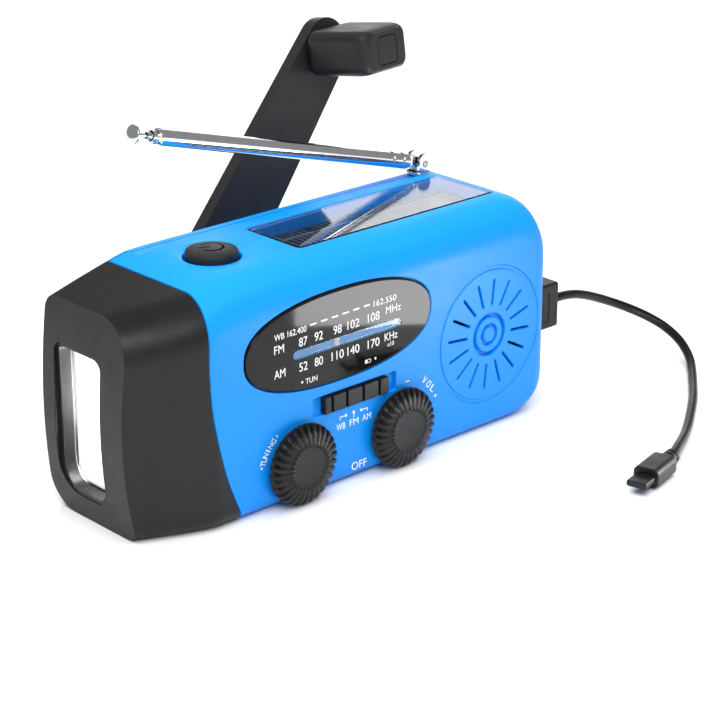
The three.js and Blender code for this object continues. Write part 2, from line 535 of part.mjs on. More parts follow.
// Crank: turned by CRANK.turn about the shaft, then folded out by CRANK.flip.
const turnGroup = new THREE.Group();
turnGroup.position.set(cx, CRANK.y, cz);
turnGroup.rotation.y = -THREE.MathUtils.degToRad(CRANK.turn);
radio.add(turnGroup);
const flipGroup = new THREE.Group();
flipGroup.rotation.z = THREE.MathUtils.degToRad(CRANK.flip);
turnGroup.add(flipGroup);

const halfThick = CRANK.thick / 2;
const hub = joined(
  lathe("y", [0, 0, 0], [[0, -13.6], [2.75, -13.6], [2.75, -3.2], [9.6, -3.2], [9.6, -2.6], [0, -2.6]], 24),
  box(-3, 3, -2.8, 0, -4, 4),
  rod("z", [0, 0, 0], 3, -4, 4, 16),
);
add(turnGroup, "crank_hub", hub.subtract(rod("z", [0, 0, 0], 1.3, -6, 6, 12)), "grey");
add(turnGroup, "crank_hinge_pin", rod("z", [0, 0, 0], 1, -9.8, 9.8, 12), "steel");

function crankArm() {
  const half = CRANK.root / 2;
  const s = new THREE.Shape();
  s.moveTo(0, -half).lineTo(CRANK.length, -CRANK.tip / 2);
  s.absarc(CRANK.length, 0, CRANK.tip / 2, -Math.PI / 2, Math.PI / 2, false);
  s.lineTo(0, half);
  const blank = alongY(s, -halfThick, halfThick, 8).add(rod("z", [0, 0, 0], halfThick, -half, half, 16));
  return cut(
    blank,
    box(-4, 6.5, -5, 5, -4.4, 4.4),
    rod("z", [0, 0, 0], 1.3, -10.2, 10.2, 12),
    rod("y", [CRANK.length, 0, 0], 1.9, -5, 0.8, 14),
  );
}
add(flipGroup, "crank_arm", crankArm(), "grey");
const knobGroup = new THREE.Group();
knobGroup.position.set(CRANK.length, 0, 0);
knobGroup.rotation.y = THREE.MathUtils.degToRad(CRANK.turn);
flipGroup.add(knobGroup);
const handleTop = -halfThick - HANDLE.gap;
const handleEnd = handleTop - HANDLE.long;
function handle() {
  const [w, t] = [HANDLE.wide / 2, HANDLE.tall / 2];
  const plan = roundedBox(-w, w, -t, t, [2.6, 2.6, 2.6, 2.6]);
  const footprint = new THREE.Shape();
  footprint.moveTo(-w + 1.5, handleTop).lineTo(-w, handleTop - 5);
  footprint.lineTo(-w, handleEnd + 6).quadraticCurveTo(-w + 0.6, handleEnd, -w + 6, handleEnd);
  footprint.lineTo(w - 6, handleEnd).quadraticCurveTo(w - 0.6, handleEnd, w, handleEnd + 6);
  footprint.lineTo(w, handleTop - 5).lineTo(w - 1.5, handleTop);
  const blank = alongY(plan, handleEnd, handleTop, 4).intersect(alongZ(footprint, -10, 10, 5));
  return cut(
    blank,
    rod("y", [0, 0, 0], 2.2, handleEnd + 4, 5, 14),
    alongY(roundedBox(-4, 4, -3.8, 3.8, [1.6, 1.6, 1.6, 1.6]), handleEnd - 3, handleEnd + 4.3, 3),
  );
}
add(knobGroup, "crank_handle", handle(), "grey");
const capShape = roundedBox(-3.7, 3.7, -3.5, 3.5, [1.3, 1.3, 1.3, 1.3]);
const capPlate = alongY(capShape, handleEnd, handleEnd + 1.2, 3);
const capLegs = joined(
  box(-3.3, -2.7, handleEnd + 1, handleEnd + 4.1, -1, 1),
  box(2.7, 3.3, handleEnd + 1, handleEnd + 4.1, -1, 1),
);
add(knobGroup, "handle_cap", capPlate.add(capLegs), "grey");
const spindle = joined(
  rod("y", [CRANK.length, 0, 0], 1.5, handleEnd + 2.8, 0.4, 14),
  rod("y", [CRANK.length, 0, 0], 2.3, handleEnd + 1.6, handleEnd + 3.2, 14),
);
add(flipGroup, "handle_spindle", spindle, "steel");

// ---- telescopic whip --------------------------------------------------------------------------
const bracket = cut(
  joined(
    box(46.5, 54.8, 13.2, 17.4, 51.4, 53),
    box(46.5, 48.5, 13.2, 17.4, 49, 52),
  ),
  rod("z", [WHIP.x, WHIP.y, 0], 1.5, 45, 60, 12),
);
add(radio, "antenna_bracket", bracket.subtract(rod("y", [56, 0, 46.5], 3.2, 10, 20, 12)), "steel");
const swivelGroup = new THREE.Group();
swivelGroup.position.set(WHIP.x, WHIP.y, WHIP.z);
radio.add(swivelGroup);
const cheeks = joined(box(-1.9, 1.9, -2.5, -1.5, -2.6, 1.2), box(-1.9, 1.9, 1.5, 2.5, -2.6, 1.2));
const swivel = joined(
  lathe("z", [0, 0, 0], [[0, -9.2], [1.2, -9.2], [1.2, -3.4], [2, -3.4], [2, -2.9], [2.9, -2.9], [2.9, -1.9],
    [0, -1.9]], 16),
  cheeks,
  rod("y", [0, 0, 1.2], 1.9, -2.5, -1.5, 14),
  rod("y", [0, 0, 1.2], 1.9, 1.5, 2.5, 14),
).subtract(rod("y", [0, 0, 0], 0.9, -5, 5, 10));
add(swivelGroup, "antenna_swivel", swivel, "chrome");
add(swivelGroup, "antenna_pin", rod("y", [0, 0, 0], 0.6, -2.5, 2.5, 10), "steel");
const whipGroup = new THREE.Group();
whipGroup.rotation.y = Math.PI + THREE.MathUtils.degToRad(WHIP.tilt);
swivelGroup.add(whipGroup);
const [r1, r2, r3, r4] = WHIP.radii;
const tubeEnd = WHIP.length - 7.2;
const knuckle = joined(
  rod("y", [0, 0, 0], 1.45, -1.1, 1.1, 14),
  box(0, 5, -1.1, 1.1, -1.4, 1.4),
).subtract(rod("y", [0, 0, 0], 0.9, -3, 3, 10));
const sleeve = lathe("x", [0, 0, 0], [
  [0, 4.4], [1.9, 4.4], [r1, 4.8], [r1, 7], [r1 - 0.35, 7.2], [r1 - 0.35, 7.6], [r1, 7.8], [r1, 10],
  [r1 - 0.35, 10.2], [r1 - 0.35, 10.6], [r1, 10.8], [r1, tubeEnd - 0.3], [r1 - 0.15, tubeEnd],
  [r1 - 0.4, tubeEnd], [r1 - 0.4, 9], [0, 9],
], 14);
add(whipGroup, "antenna_tube_1", knuckle.add(sleeve), "chrome");
add(whipGroup, "antenna_tube_2", lathe("x", [0, 0, 0], [
  [r2 - 0.28, 10], [r2, 10], [r2, tubeEnd + 1], [r2 - 0.15, tubeEnd + 1.3], [r2 - 0.28, tubeEnd + 1.3],
  [r2 - 0.28, 10],
], 12), "chrome");
add(whipGroup, "antenna_tube_3", lathe("x", [0, 0, 0], [
  [r3 - 0.24, 11], [r3, 11], [r3, tubeEnd + 2.4], [r3 - 0.12, tubeEnd + 2.6], [r3 - 0.24, tubeEnd + 2.6],
  [r3 - 0.24, 11],
], 12), "chrome");
add(whipGroup, "antenna_rod", rod("x", [0, 0, 0], r4, 12, WHIP.length - 2.6, 12), "chrome");
add(whipGroup, "antenna_tip", lathe("x", [0, 0, 0], [
  [0, WHIP.length - 2.3], [1, WHIP.length - 2.3], [1.6, WHIP.length - 1.4], [2.3, WHIP.length - 1.2],
  [2.3, WHIP.length - 0.3], [1.9, WHIP.length], [0, WHIP.length],
], 16), "chrome");

// ---- charging lead ----------------------------------------------------------------------------
const plugBody = alongX(roundedBox(-PLUG.wide / 2, PLUG.wide / 2, -PLUG.tall / 2, PLUG.tall / 2,
  [0.8, 0.8, 0.8, 0.8]), 64.5, PLUG.x1, 3);
const blade = box(52.4, 64.6, -2.2, 2.2, -5.8, 5.8);
const plug = plugBody.add(blade).translate([0, PORT.y, PORT.z]);
add(radio, "usb_plug", plug, "black");
const routePoints = CORD_ROUTE.map((p) => new THREE.Vector3(...p));
const route = new THREE.CatmullRomCurve3(routePoints, false, "centripetal");
const section = new THREE.Shape();
section.absarc(0, 0, CORD.r, 0, 2 * Math.PI, false);
const cordGeometry = new THREE.ExtrudeGeometry(section, {
  steps: 36, curveSegments: 4, bevelEnabled: false, extrudePath: route,
});
add(radio, "usb_cord", solid(cordGeometry), "black");
const connectorGroup = new THREE.Group();
connectorGroup.position.set(CONNECTOR.x, CONNECTOR.y, CONNECTOR.z);
connectorGroup.rotation.z = THREE.MathUtils.degToRad(CONNECTOR.heading);
radio.add(connectorGroup);
const connector = joined(
  rod("x", [0, 0, 0], 1.9, 0, 5, 12),
  alongX(roundedBox(-3.3, 3.3, -2.4, 2.4, [1.3, 1.3, 1.3, 1.3]), 4.7, 15, 3),
  alongX(roundedBox(-2.6, 2.6, -0.8, 0.8, [0.4, 0.4, 0.4, 0.4]), 14.5, 20, 2),
);
add(connectorGroup, "phone_connector", connector, "black");

export default radio;
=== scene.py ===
"""Looks for the hand-crank emergency radio: case, torch head, dial, crank, whip and charging lead.

Lengths are in millimetres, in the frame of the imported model, until a mesh is made.
"""
import json
import math

import bmesh
import bpy
from mathutils import Matrix, Vector


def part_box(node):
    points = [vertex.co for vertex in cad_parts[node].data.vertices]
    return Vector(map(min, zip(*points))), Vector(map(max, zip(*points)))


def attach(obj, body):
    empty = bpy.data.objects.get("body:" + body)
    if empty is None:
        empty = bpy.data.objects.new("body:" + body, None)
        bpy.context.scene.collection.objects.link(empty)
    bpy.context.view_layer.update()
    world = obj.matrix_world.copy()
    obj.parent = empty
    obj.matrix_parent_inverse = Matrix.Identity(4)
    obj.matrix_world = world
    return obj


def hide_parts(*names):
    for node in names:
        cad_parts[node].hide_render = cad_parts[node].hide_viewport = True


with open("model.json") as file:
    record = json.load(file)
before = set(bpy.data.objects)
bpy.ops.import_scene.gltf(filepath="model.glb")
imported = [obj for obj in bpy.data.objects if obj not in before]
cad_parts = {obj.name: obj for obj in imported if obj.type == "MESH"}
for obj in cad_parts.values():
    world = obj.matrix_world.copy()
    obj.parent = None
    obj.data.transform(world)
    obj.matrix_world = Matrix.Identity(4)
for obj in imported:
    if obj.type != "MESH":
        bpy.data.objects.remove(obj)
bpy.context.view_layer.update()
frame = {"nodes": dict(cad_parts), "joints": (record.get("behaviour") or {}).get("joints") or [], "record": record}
MM = 0.001
GAP = 0.3
JOINTS = {joint["name"]: joint for joint in frame["joints"]}


def span(node):
    """Lowest and highest corner of a CAD node, in millimetres."""
    low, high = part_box(node)
    return Vector(low) / MM, Vector(high) / MM


def middle(node):
    low, high = span(node)
    return (low + high) / 2


def pivot(joint):
    return Vector(JOINTS[joint]["pos_m"]) / MM


# ---- camera and lead ----
CAMERA_AT = (-333.1, -379.1, 223.4)
CAMERA_TURN = (68.41, 0, -42.65)
CAMERA_LENS = 112.65


def make_camera():
    data = bpy.data.cameras.new("camera")
    data.lens = CAMERA_LENS
    data.sensor_width = 36
    data.clip_start = 0.01
    data.clip_end = 50
    camera = bpy.data.objects.new("camera", data)
    bpy.context.scene.collection.objects.link(camera)
    camera.location = Vector(CAMERA_AT) * MM
    camera.rotation_euler = [math.radians(angle) for angle in CAMERA_TURN]
    bpy.context.scene.camera = camera


# The lead's centreline, from the back of the plug to the connector lying on the floor.
CORD_ROUTE = [
    (76.7, -7, 22), (81.5, -7, 22), (86.2, -6.9, 21.3), (90.8, -6.7, 19.9), (96, -6.5, 17.8),
    (101.8, -6.9, 15.2), (107, -8.6, 12.6), (111, -11.9, 10.1), (113.2, -16.4, 7.7), (113.2, -21.6, 5.2),
    (110.6, -27, 3), (106, -31.9, 1.7), (100.2, -37, 1.3), (94.2, -42.1, 1.3), (88.6, -46.4, 1.3),
    (82.7, -50.6, 1.3), (77.8, -54, 1.3), (72.5, -57.4, 1.5), (67.6, -60.3, 2), (63, -62.9, 2.5),
    (58.8, -65.2, 2.7),
]
CORD_RADIUS = 1.2


# ---- mesh building ----
def link(name, data):
    piece = bpy.data.objects.new(name, data)
    bpy.context.scene.collection.objects.link(piece)
    return piece


def clean(data):
    """Merges doubled points and turns the faces outwards."""
    shape = bmesh.new()
    shape.from_mesh(data)
    bmesh.ops.remove_doubles(shape, verts=shape.verts, dist=1e-7)
    bmesh.ops.recalc_face_normals(shape, faces=shape.faces)
    shape.to_mesh(data)
    shape.free()


def mesh_piece(name, points, faces):
    """A mesh from points in millimetres, with its faces turned outwards."""
    data = bpy.data.meshes.new(name)
    data.from_pydata([tuple(Vector(p) * MM) for p in points], [], faces)
    clean(data)
    return link(name, data)


def loft(name, rings, loop=False):
    """Skins rings with equal numbers of points, capped at both ends or closed into a loop."""
    count = len(rings[0])
    points = [p for ring in rings for p in ring]
    faces = []
    for k in range(len(rings) if loop else len(rings) - 1):
        here = k * count
        there = (k + 1) % len(rings) * count
        for i in range(count):
            j = (i + 1) % count
            faces.append((here + i, here + j, there + j, there + i))
    if not loop:
        faces.append(tuple(range(count)))
        faces.append(tuple(range(len(points) - count, len(points))))
    return mesh_piece(name, points, faces)


def rounded_rect(u0, u1, v0, v1, radii, steps=6):
    """Outline with its own radius at each corner: low-left, low-right, high-right, high-left."""
    corners = [(u0, v0, 1, 1), (u1, v0, -1, 1), (u1, v1, -1, -1), (u0, v1, 1, -1)]
    outline = []
    for number, ((u, v, du, dv), radius) in enumerate(zip(corners, radii)):
        for step in range(steps + 1):
            angle = math.pi * (1 + number / 2) + math.pi / 2 * step / steps
            outline.append((u + radius * (du + math.cos(angle)), v + radius * (dv + math.sin(angle))))
    return outline


def centred(u, v, half_u, half_v, radius, steps):
    """A rounded outline about a point, with one radius for all its corners."""
    return rounded_rect(u - half_u, u + half_u, v - half_v, v + half_v, [radius] * 4, steps)


def circle(u, v, radius, steps=48):
    turns = [2 * math.pi * k / steps for k in range(steps)]
    return [(u + radius * math.cos(t), v + radius * math.sin(t)) for t in turns]


def superellipse(u, v, a, b, power, steps=96):
    outline = []
    for k in range(steps):
        cos, sin = math.cos(2 * math.pi * k / steps), math.sin(2 * math.pi * k / steps)
        outline.append((
            u + a * math.copysign(abs(cos) ** (2 / power), cos),
            v + b * math.copysign(abs(sin) ** (2 / power), sin),
        ))
    return outline


def grow(outline, distance):
    """Moves each point of a rounded outline outwards, square to its neighbours."""
    if distance == 0:
        return list(outline)
    moved = []
    for k, (u, v) in enumerate(outline):
        (pu, pv), (nu, nv) = outline[k - 1], outline[(k + 1) % len(outline)]
        du, dv = nu - pu, nv - pv
        length = math.hypot(du, dv)
        moved.append((u + distance * dv / length, v - distance * du / length))
    return moved


# How an outline's two numbers and a depth become a point, for outlines square to X, Y or Z.
PLANES = {
    "X": lambda u, v, d: (d, u, v),
    "Y": lambda u, v, d: (u, d, v),
    "Z": lambda u, v, d: (u, v, d),
}


def stack(name, outline, plane, levels):
    """Lofts an outline through levels of (depth, growth)."""
    to_point = PLANES[plane]
    return loft(name, [[to_point(u, v, d) for u, v in grow(outline, g)] for d, g in levels])


def prism(name, outline, plane, start, end):
    return stack(name, outline, plane, [(start, 0), (end, 0)])


def hole(*values):
    """A round cutter: the circle's values, then its plane, start and end."""
    *ring, plane, start, end = values
    return prism("hole", circle(*ring), plane, start, end)


def edge_levels(mouth, inward, radius, steps=4):
    """Levels of a quarter round from a mouth, whose opening is widest, down into a straight wall."""
    levels = []
    for k in range(steps + 1):
        angle = math.pi / 2 * k / steps
        levels.append((mouth + inward * radius * (1 - math.cos(angle)), radius * (1 - math.sin(angle))))
    return levels


def pocket(name, outline, plane, mouth, floor, lip):
    """A cutter that leaves a rounded edge round its mouth."""
    inward = math.copysign(1, floor - mouth)
    levels = [(mouth - inward, lip)] + edge_levels(mouth, inward, lip) + [(floor, 0)]
    return stack(name, outline, plane, levels)


def slab(name, outline, plane, back, face, radius, steps=4):
    """A plate whose edge is rounded where it meets its face."""
    out = math.copysign(1, face - back)
    levels = [(back, 0)]
    for k in range(steps + 1):
        angle = math.pi / 2 * k / steps
        levels.append((face - out * radius * (1 - math.sin(angle)), -radius * (1 - math.cos(angle))))
    return stack(name, outline, plane, levels)


AXES = {
    "X": lambda r, h, c, s: (h, r * c, r * s),
    "Y": lambda r, h, c, s: (r * c, h, r * s),
    "Z": lambda r, h, c, s: (r * c, r * s, h),
}


def lathe(name, axis, at, profile, steps=48, shape=None):
    """Turns a profile of (radius, height) about an axis; shape(angle, row) may scale and twist it."""
    to_point = AXES[axis]
    rings = []
    for row, (radius, height) in enumerate(profile):
        ring = []
        for k in range(steps):
            angle = 2 * math.pi * k / steps
            r, turn = shape(angle, row) if shape else (1, 0)
            point = to_point(radius * r, height, math.cos(angle + turn), math.sin(angle + turn))
            ring.append(Vector(point) + Vector(at))
        rings.append(ring)
    return loft(name, rings)


def ring_cutter(name, at, section):
    """A section of (radius, y) swept round an axis along Y and closed into a ring."""
    rings = []
    for k in range(72):
        cos, sin = math.cos(math.pi / 36 * k), math.sin(math.pi / 36 * k)
        rings.append([(at.x + radius * cos, y, at.z + radius * sin) for radius, y in section])
    return loft(name, rings, loop=True)


def arc(centre, radius, start, end, steps=5):
    """Profile points along an arc, angles in degrees."""
    angles = [math.radians(start + (end - start) * k / steps) for k in range(steps + 1)]
    return [(centre[0] + radius * math.cos(a), centre[1] + radius * math.sin(a)) for a in angles]


def join(name, *pieces):
    """Pieces put into one object, with their shapes left apart."""
    merged = bmesh.new()
    for piece in pieces:
        piece.data.transform(piece.matrix_world)
        merged.from_mesh(piece.data)
        bpy.data.objects.remove(piece)
    data = bpy.data.meshes.new(name)
    merged.to_mesh(data)
    merged.free()
    return link(name, data)


def boolean(piece, cutter, operation="DIFFERENCE"):
    modifier = piece.modifiers.new("cut", "BOOLEAN")
    modifier.operation = operation
    modifier.solver = "MANIFOLD"
    modifier.object = cutter
    bpy.context.view_layer.update()
    made = bpy.data.meshes.new_from_object(piece.evaluated_get(bpy.context.evaluated_depsgraph_get()))
    piece.modifiers.clear()
    piece.data = made
    bpy.data.objects.remove(cutter)
    return piece


def carve(piece, *cutters):
    for cutter in cutters:
        boolean(piece, cutter)
    return piece


def fuse(piece, *others):
    for other in others:
        boolean(piece, other, "UNION")
    return piece


def keep(piece, cutter):
    return boolean(piece, cutter, "INTERSECT")


def block(name, low, high):
    outline = [(low[0], low[1]), (high[0], low[1]), (high[0], high[1]), (low[0], high[1])]
    return prism(name, outline, "Z", low[2], high[2])


def everywhere(point):
    return True


def round_edges(piece, width, where=everywhere, angle=38, segments=2):
    """Rounds the sharp edges whose two ends both pass a test on their place in millimetres."""
    shape = bmesh.new()
    shape.from_mesh(piece.data)
    bmesh.ops.dissolve_degenerate(shape, dist=1e-6, edges=shape.edges)
    limit = math.radians(angle)
    chosen = [
        edge for edge in shape.edges
        if edge.is_manifold and abs(edge.calc_face_angle(0)) > limit
        and all(where(vertex.co / MM) for vertex in edge.verts)
    ]
    bmesh.ops.bevel(
        shape, geom=chosen, offset=width * MM, offset_type="OFFSET", segments=segments,
        profile=0.5, affect="EDGES", clamp_overlap=True,
    )
    shape.to_mesh(piece.data)
    shape.free()
    return piece


def smooth(piece, angle=35):
    """Smooth shading that keeps flat faces flat and edges over an angle sharp."""
    piece.data.polygons.foreach_set("use_smooth", [True] * len(piece.data.polygons))
    piece.data.set_sharp_from_angle(angle=math.radians(angle))
    weights = piece.modifiers.new("even_shading", "WEIGHTED_NORMAL")
    weights.keep_sharp = True
    return piece


def settle(piece, body, slot, material, *replaced):
    """Gives a piece its material and puts it on its body."""
    piece.data.materials.clear()
    piece.data.materials.append(material)
    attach(piece, body)
    if replaced:
        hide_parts(*replaced)
    return piece


# ---- materials ----
def graph(name):
    material = bpy.data.materials.new(name)
    material.use_nodes = True
    tree = material.node_tree
    tree.nodes.clear()
    output = tree.nodes.new("ShaderNodeOutputMaterial")
    shader = tree.nodes.new("ShaderNodeBsdfPrincipled")
    tree.links.new(shader.outputs["BSDF"], output.inputs["Surface"])
    place = tree.nodes.new("ShaderNodeTexCoord")
    return material, tree, shader, place.outputs["Object"]


def noise(tree, place, scale, detail=3.0, stretch=None):
    """A noise texture; scale is in waves per metre, stretch squeezes it along some axes."""
    if stretch:
        mapping = tree.nodes.new("ShaderNodeMapping")
        mapping.inputs["Scale"].default_value = stretch
        tree.links.new(place, mapping.inputs["Vector"])
        place = mapping.outputs["Vector"]
    node = tree.nodes.new("ShaderNodeTexNoise")
    node.inputs["Scale"].default_value = scale
    node.inputs["Detail"].default_value = detail
    tree.links.new(place, node.inputs["Vector"])
    return node.outputs["Fac"]


def ramp(tree, factor, low, high, start=0.3, end=0.7):
    """Blends two colours or grey levels over part of a factor's range."""
    node = tree.nodes.new("ShaderNodeValToRGB")
    node.color_ramp.elements[0].position = start
    node.color_ramp.elements[1].position = end
    node.color_ramp.elements[0].color = low
    node.color_ramp.elements[1].color = high
    tree.links.new(factor, node.inputs["Fac"])
    return node.outputs["Color"]


def grey(level):
    return (level, level, level, 1)


def opaque(colour, scale=1):
    return tuple(min(c * scale, 1) for c in colour) + (1,)


def vary(tree, shader, socket, factor, low, high):
    """Drives a shader input between two colours or grey levels."""
    tree.links.new(ramp(tree, factor, low, high), shader.inputs[socket])


def vary_gloss(tree, shader, factor, rough):
    vary(tree, shader, "Roughness", factor, grey(rough[0]), grey(rough[1]))


def relief(tree, shader, height, strength, distance):
    node = tree.nodes.new("ShaderNodeBump")
    node.inputs["Strength"].default_value = strength
    node.inputs["Distance"].default_value = distance
    tree.links.new(height, node.inputs["Height"])
    tree.links.new(node.outputs["Normal"], shader.inputs["Normal"])


def plastic(name, colour, spread=0.06, rough=(0.3, 0.42), grain=5200, depth=0.25, shine=0.5):
    """Moulded plastic: faint cloudiness in its colour, uneven gloss and a fine moulded grain."""
    material, tree, shader, place = graph(name)
    cloud = noise(tree, place, 45)
    vary(tree, shader, "Base Color", cloud, opaque(colour, 1 - spread), opaque(colour, 1 + spread))
    vary_gloss(tree, shader, noise(tree, place, 160, 5), rough)
    relief(tree, shader, noise(tree, place, grain, 2), depth, 0.00004)
    shader.inputs["Specular IOR Level"].default_value = shine
    return material


def metal(name, colour, rough=(0.08, 0.16), stretch=(1, 1, 1), scale=400, depth=0.05):
    """Plated or brushed metal: colour near even, with fine drawn lines in gloss and relief."""
    material, tree, shader, place = graph(name)
    lines = noise(tree, place, scale, 4, stretch)
    vary(tree, shader, "Base Color", lines, opaque(colour, 0.93), opaque(colour))
    vary_gloss(tree, shader, lines, rough)
    relief(tree, shader, lines, depth, 0.00002)
    shader.inputs["Metallic"].default_value = 1
    return material


def clear(name, colour, rough=(0.01, 0.04)):
    """Clear moulded plastic with faint handling smears in its gloss."""
    material, tree, shader, place = graph(name)
    smear = noise(tree, place, 70, 5, (1, 3, 1))
    vary(tree, shader, "Base Color", smear, opaque(colour, 0.97), opaque(colour))
    vary_gloss(tree, shader, smear, rough)
    shader.inputs["Transmission Weight"].default_value = 1
    shader.inputs["IOR"].default_value = 1.46
    return material


def glowing(name, colour, strength, base):
    """A glowing surface whose brightness falls off a little in soft patches: the LED's own light, and painted
    light on the reflector dish and the dial's backing.
    """
    material, tree, shader, place = graph(name)
    patches = noise(tree, place, 120, 2)
    vary(tree, shader, "Emission Color", patches, opaque(colour, 0.82), opaque(colour))
    shader.inputs["Emission Strength"].default_value = strength
    vary(tree, shader, "Base Color", patches, grey(base * 0.9), grey(base))
    shader.inputs["Roughness"].default_value = 0.4
    return material


def solar_material():
    """Dark cells crossed by fine silver fingers and two wider bars."""
    material, tree, shader, place = graph("solar_cells")

    def stripes(direction, waves, low, high):
        wave = tree.nodes.new("ShaderNodeTexWave")
        wave.bands_direction = direction
        wave.inputs["Scale"].default_value = waves
        tree.links.new(place, wave.inputs["Vector"])
        return ramp(tree, wave.outputs["Fac"], grey(0), grey(1), low, high)

    fingers = stripes("X", 200, 0.93, 0.97)
    bars = stripes("Y", 34, 0.985, 0.995)
    both = tree.nodes.new("ShaderNodeMath")
    both.operation = "MAXIMUM"
    tree.links.new(fingers, both.inputs[0])
    tree.links.new(bars, both.inputs[1])
    cloud = noise(tree, place, 300, 4)
    cell = ramp(tree, cloud, (0.004, 0.007, 0.012, 1), (0.012, 0.018, 0.03, 1))
    mix = tree.nodes.new("ShaderNodeMix")
    mix.data_type = "RGBA"
    mix.inputs["B"].default_value = (0.22, 0.25, 0.28, 1)
    tree.links.new(both.outputs["Value"], mix.inputs["Factor"])
    tree.links.new(cell, mix.inputs["A"])
    tree.links.new(mix.outputs["Result"], shader.inputs["Base Color"])
    vary_gloss(tree, shader, cloud, (0.16, 0.26))
    return material


BLUE = (0.004, 0.27, 0.87)
PAINT = {
    name: make(name, *values) for make, name, *values in [
        (plastic, "blue_shell", BLUE, 0.03, (0.36, 0.46), 5200, 0.22, 0.22),
        (plastic, "black_plastic", (0.009, 0.009, 0.0095), 0.12, (0.34, 0.46), 4200, 0.4, 0.3),
        (plastic, "grey_plastic", (0.018, 0.018, 0.0185), 0.1, (0.38, 0.5), 4200, 0.35, 0.3),
        (clear, "clear_plastic", (0.96, 0.98, 1.0)),
        (plastic, "dial_black", (0.006, 0.006, 0.0065), 0.1, (0.04, 0.07), 900, 0.01, 0.25),
        # painted light: the dial's backing glows blue over a dark grey base colour
        (glowing, "dial_blue", (0.012, 0.17, 0.42), 1.3, 0.1),
        (plastic, "pointer_white", (0.86, 0.87, 0.88), 0.02, (0.4, 0.5), 3000, 0.1),
        (metal, "chrome", (0.8, 0.81, 0.83), (0.05, 0.11)),
        (metal, "steel", (0.5, 0.51, 0.53), (0.22, 0.36), (1, 1, 12), 600, 0.15),
        # painted light: the torch's reflector glows near white as if lit by its lamp, though it is no lamp
        (glowing, "lit_dish", (1.0, 0.99, 0.97), 0.75, 0.8),
        (glowing, "led_yellow", (1.0, 0.97, 0.92), 48, 0.9),
        (plastic, "nylon", (0.75, 0.72, 0.64), 0.04, (0.4, 0.55), 2600, 0.2),
        (plastic, "board_green", (0.02, 0.16, 0.06), 0.3, (0.35, 0.55), 1500, 0.3),
        (metal, "copper", (0.66, 0.33, 0.16), (0.25, 0.4), (12, 1, 1), 900, 0.5),
        (plastic, "magnet", (0.05, 0.05, 0.055), 0.25, (0.5, 0.7), 1800, 0.6),
        (plastic, "battery_wrap", (0.08, 0.3, 0.55), 0.05, (0.2, 0.3), 2400, 0.1),
        (plastic, "speaker_paper", (0.02, 0.02, 0.022), 0.3, (0.75, 0.9), 2200, 0.9),
        (plastic, "cable_black", (0.005, 0.005, 0.0055), 0.15, (0.3, 0.42), 2600, 0.2, 0.3),
    ]
}
PAINT["solar_cell"] = solar_material()


def dress_frame():
    """Gives every CAD node its slot's material; those that show are inner parts and hardware."""
    for row in frame["record"]["subparts"]:
        materials = frame["nodes"][row["node"]].data.materials
        materials.clear()
        materials.append(PAINT[row["material_slot"]])


# ---- the case's outer surface ----
SHELL_LOW, SHELL_HIGH = span("front_shell")
RIGHT, FRONT, TOP = SHELL_HIGH.x, SHELL_LOW.y, SHELL_HIGH.z
REAR = span("rear_cover")[1].y
WALL = 2.2
END = {"top": 13, "low": 14, "front": 7, "rear": 4}
SECTION = (4, 2, 2, 10.5)
DROOP = {"start": -30, "end": -47, "fall": 2.6}
HEAD = {"start": -45.5, "end": -67, "front": -11, "rear": 17.5, "top": 51.4, "low": 9, "high": 4}
SEAM = [
    (-37.4, -3), (-37.9, 0), (-40.5, 6), (-43, 13), (-45.2, 22), (-46.4, 30), (-46.8, 40),
    (-46.3, 50), (-44.6, 58), (-44.2, 61),
]
SEAM_GAP = 0.15
SPLIT = SHELL_HIGH.y
TIP_CURVE = [(-62.6, -3), (-68.6, 24), (-62.2, 56.4)]


def mix(a, b, t):
    return a + (b - a) * t


def quarter(distance, radius):
    """How far a quarter round has pulled a face in, at a distance from the end it meets."""
    if distance >= radius:
        return 0
    return radius - math.sqrt(max(radius ** 2 - (radius - distance) ** 2, 0))


def top_at(x):
    """The top is level, droops a little towards the torch, then slopes along the head."""
    if x >= DROOP["start"]:
        return TOP
    reach = 20 - math.sqrt(400 + 12 * (x - DROOP["start"]))
    return TOP - DROOP["fall"] * (reach / 6) ** 2


def case_ring(x, inset=0):
    """The case's section in YZ at one station, with all faces moved in by inset."""
    front, rear, top, low = FRONT, REAR, top_at(max(x, HEAD["start"])), 0
    radii = list(SECTION)
    if x < HEAD["start"]:
        t = (HEAD["start"] - x) / (HEAD["start"] - HEAD["end"])
        front = mix(FRONT, HEAD["front"], t ** 1.2)
        rear = mix(REAR, HEAD["rear"], t ** 1.2)
        top = mix(top, HEAD["top"], t)
        radii[1], radii[2] = mix(2, HEAD["low"], t), mix(2, HEAD["high"], t)
    to_end = RIGHT - inset - x
    outline = rounded_rect(
        front + inset + quarter(to_end, END["front"] - inset),
        rear - inset - quarter(to_end, END["rear"] - inset),
        low + inset + quarter(to_end, END["low"] - inset),
        top - inset - quarter(to_end, END["top"] - inset),
        [max(r - inset, 0.4) for r in radii],
        10,
    )
    return [(x, y, z) for y, z in outline]


def case_body(name, inset=0):
    stations = [mix(HEAD["end"], HEAD["start"], k / 12) for k in range(13)]
    stations += [mix(HEAD["start"], DROOP["start"], k / 8) for k in range(1, 9)]
    stations += [mix(DROOP["start"], RIGHT - END["low"], k / 6) for k in range(1, 7)]
    reach = END["low"] - inset
    for k in range(1, 19):
        stations.append(RIGHT - inset - reach * (1 - math.sin(math.pi / 2 * k / 18)))
    return loft(name, [case_ring(x, inset) for x in stations])


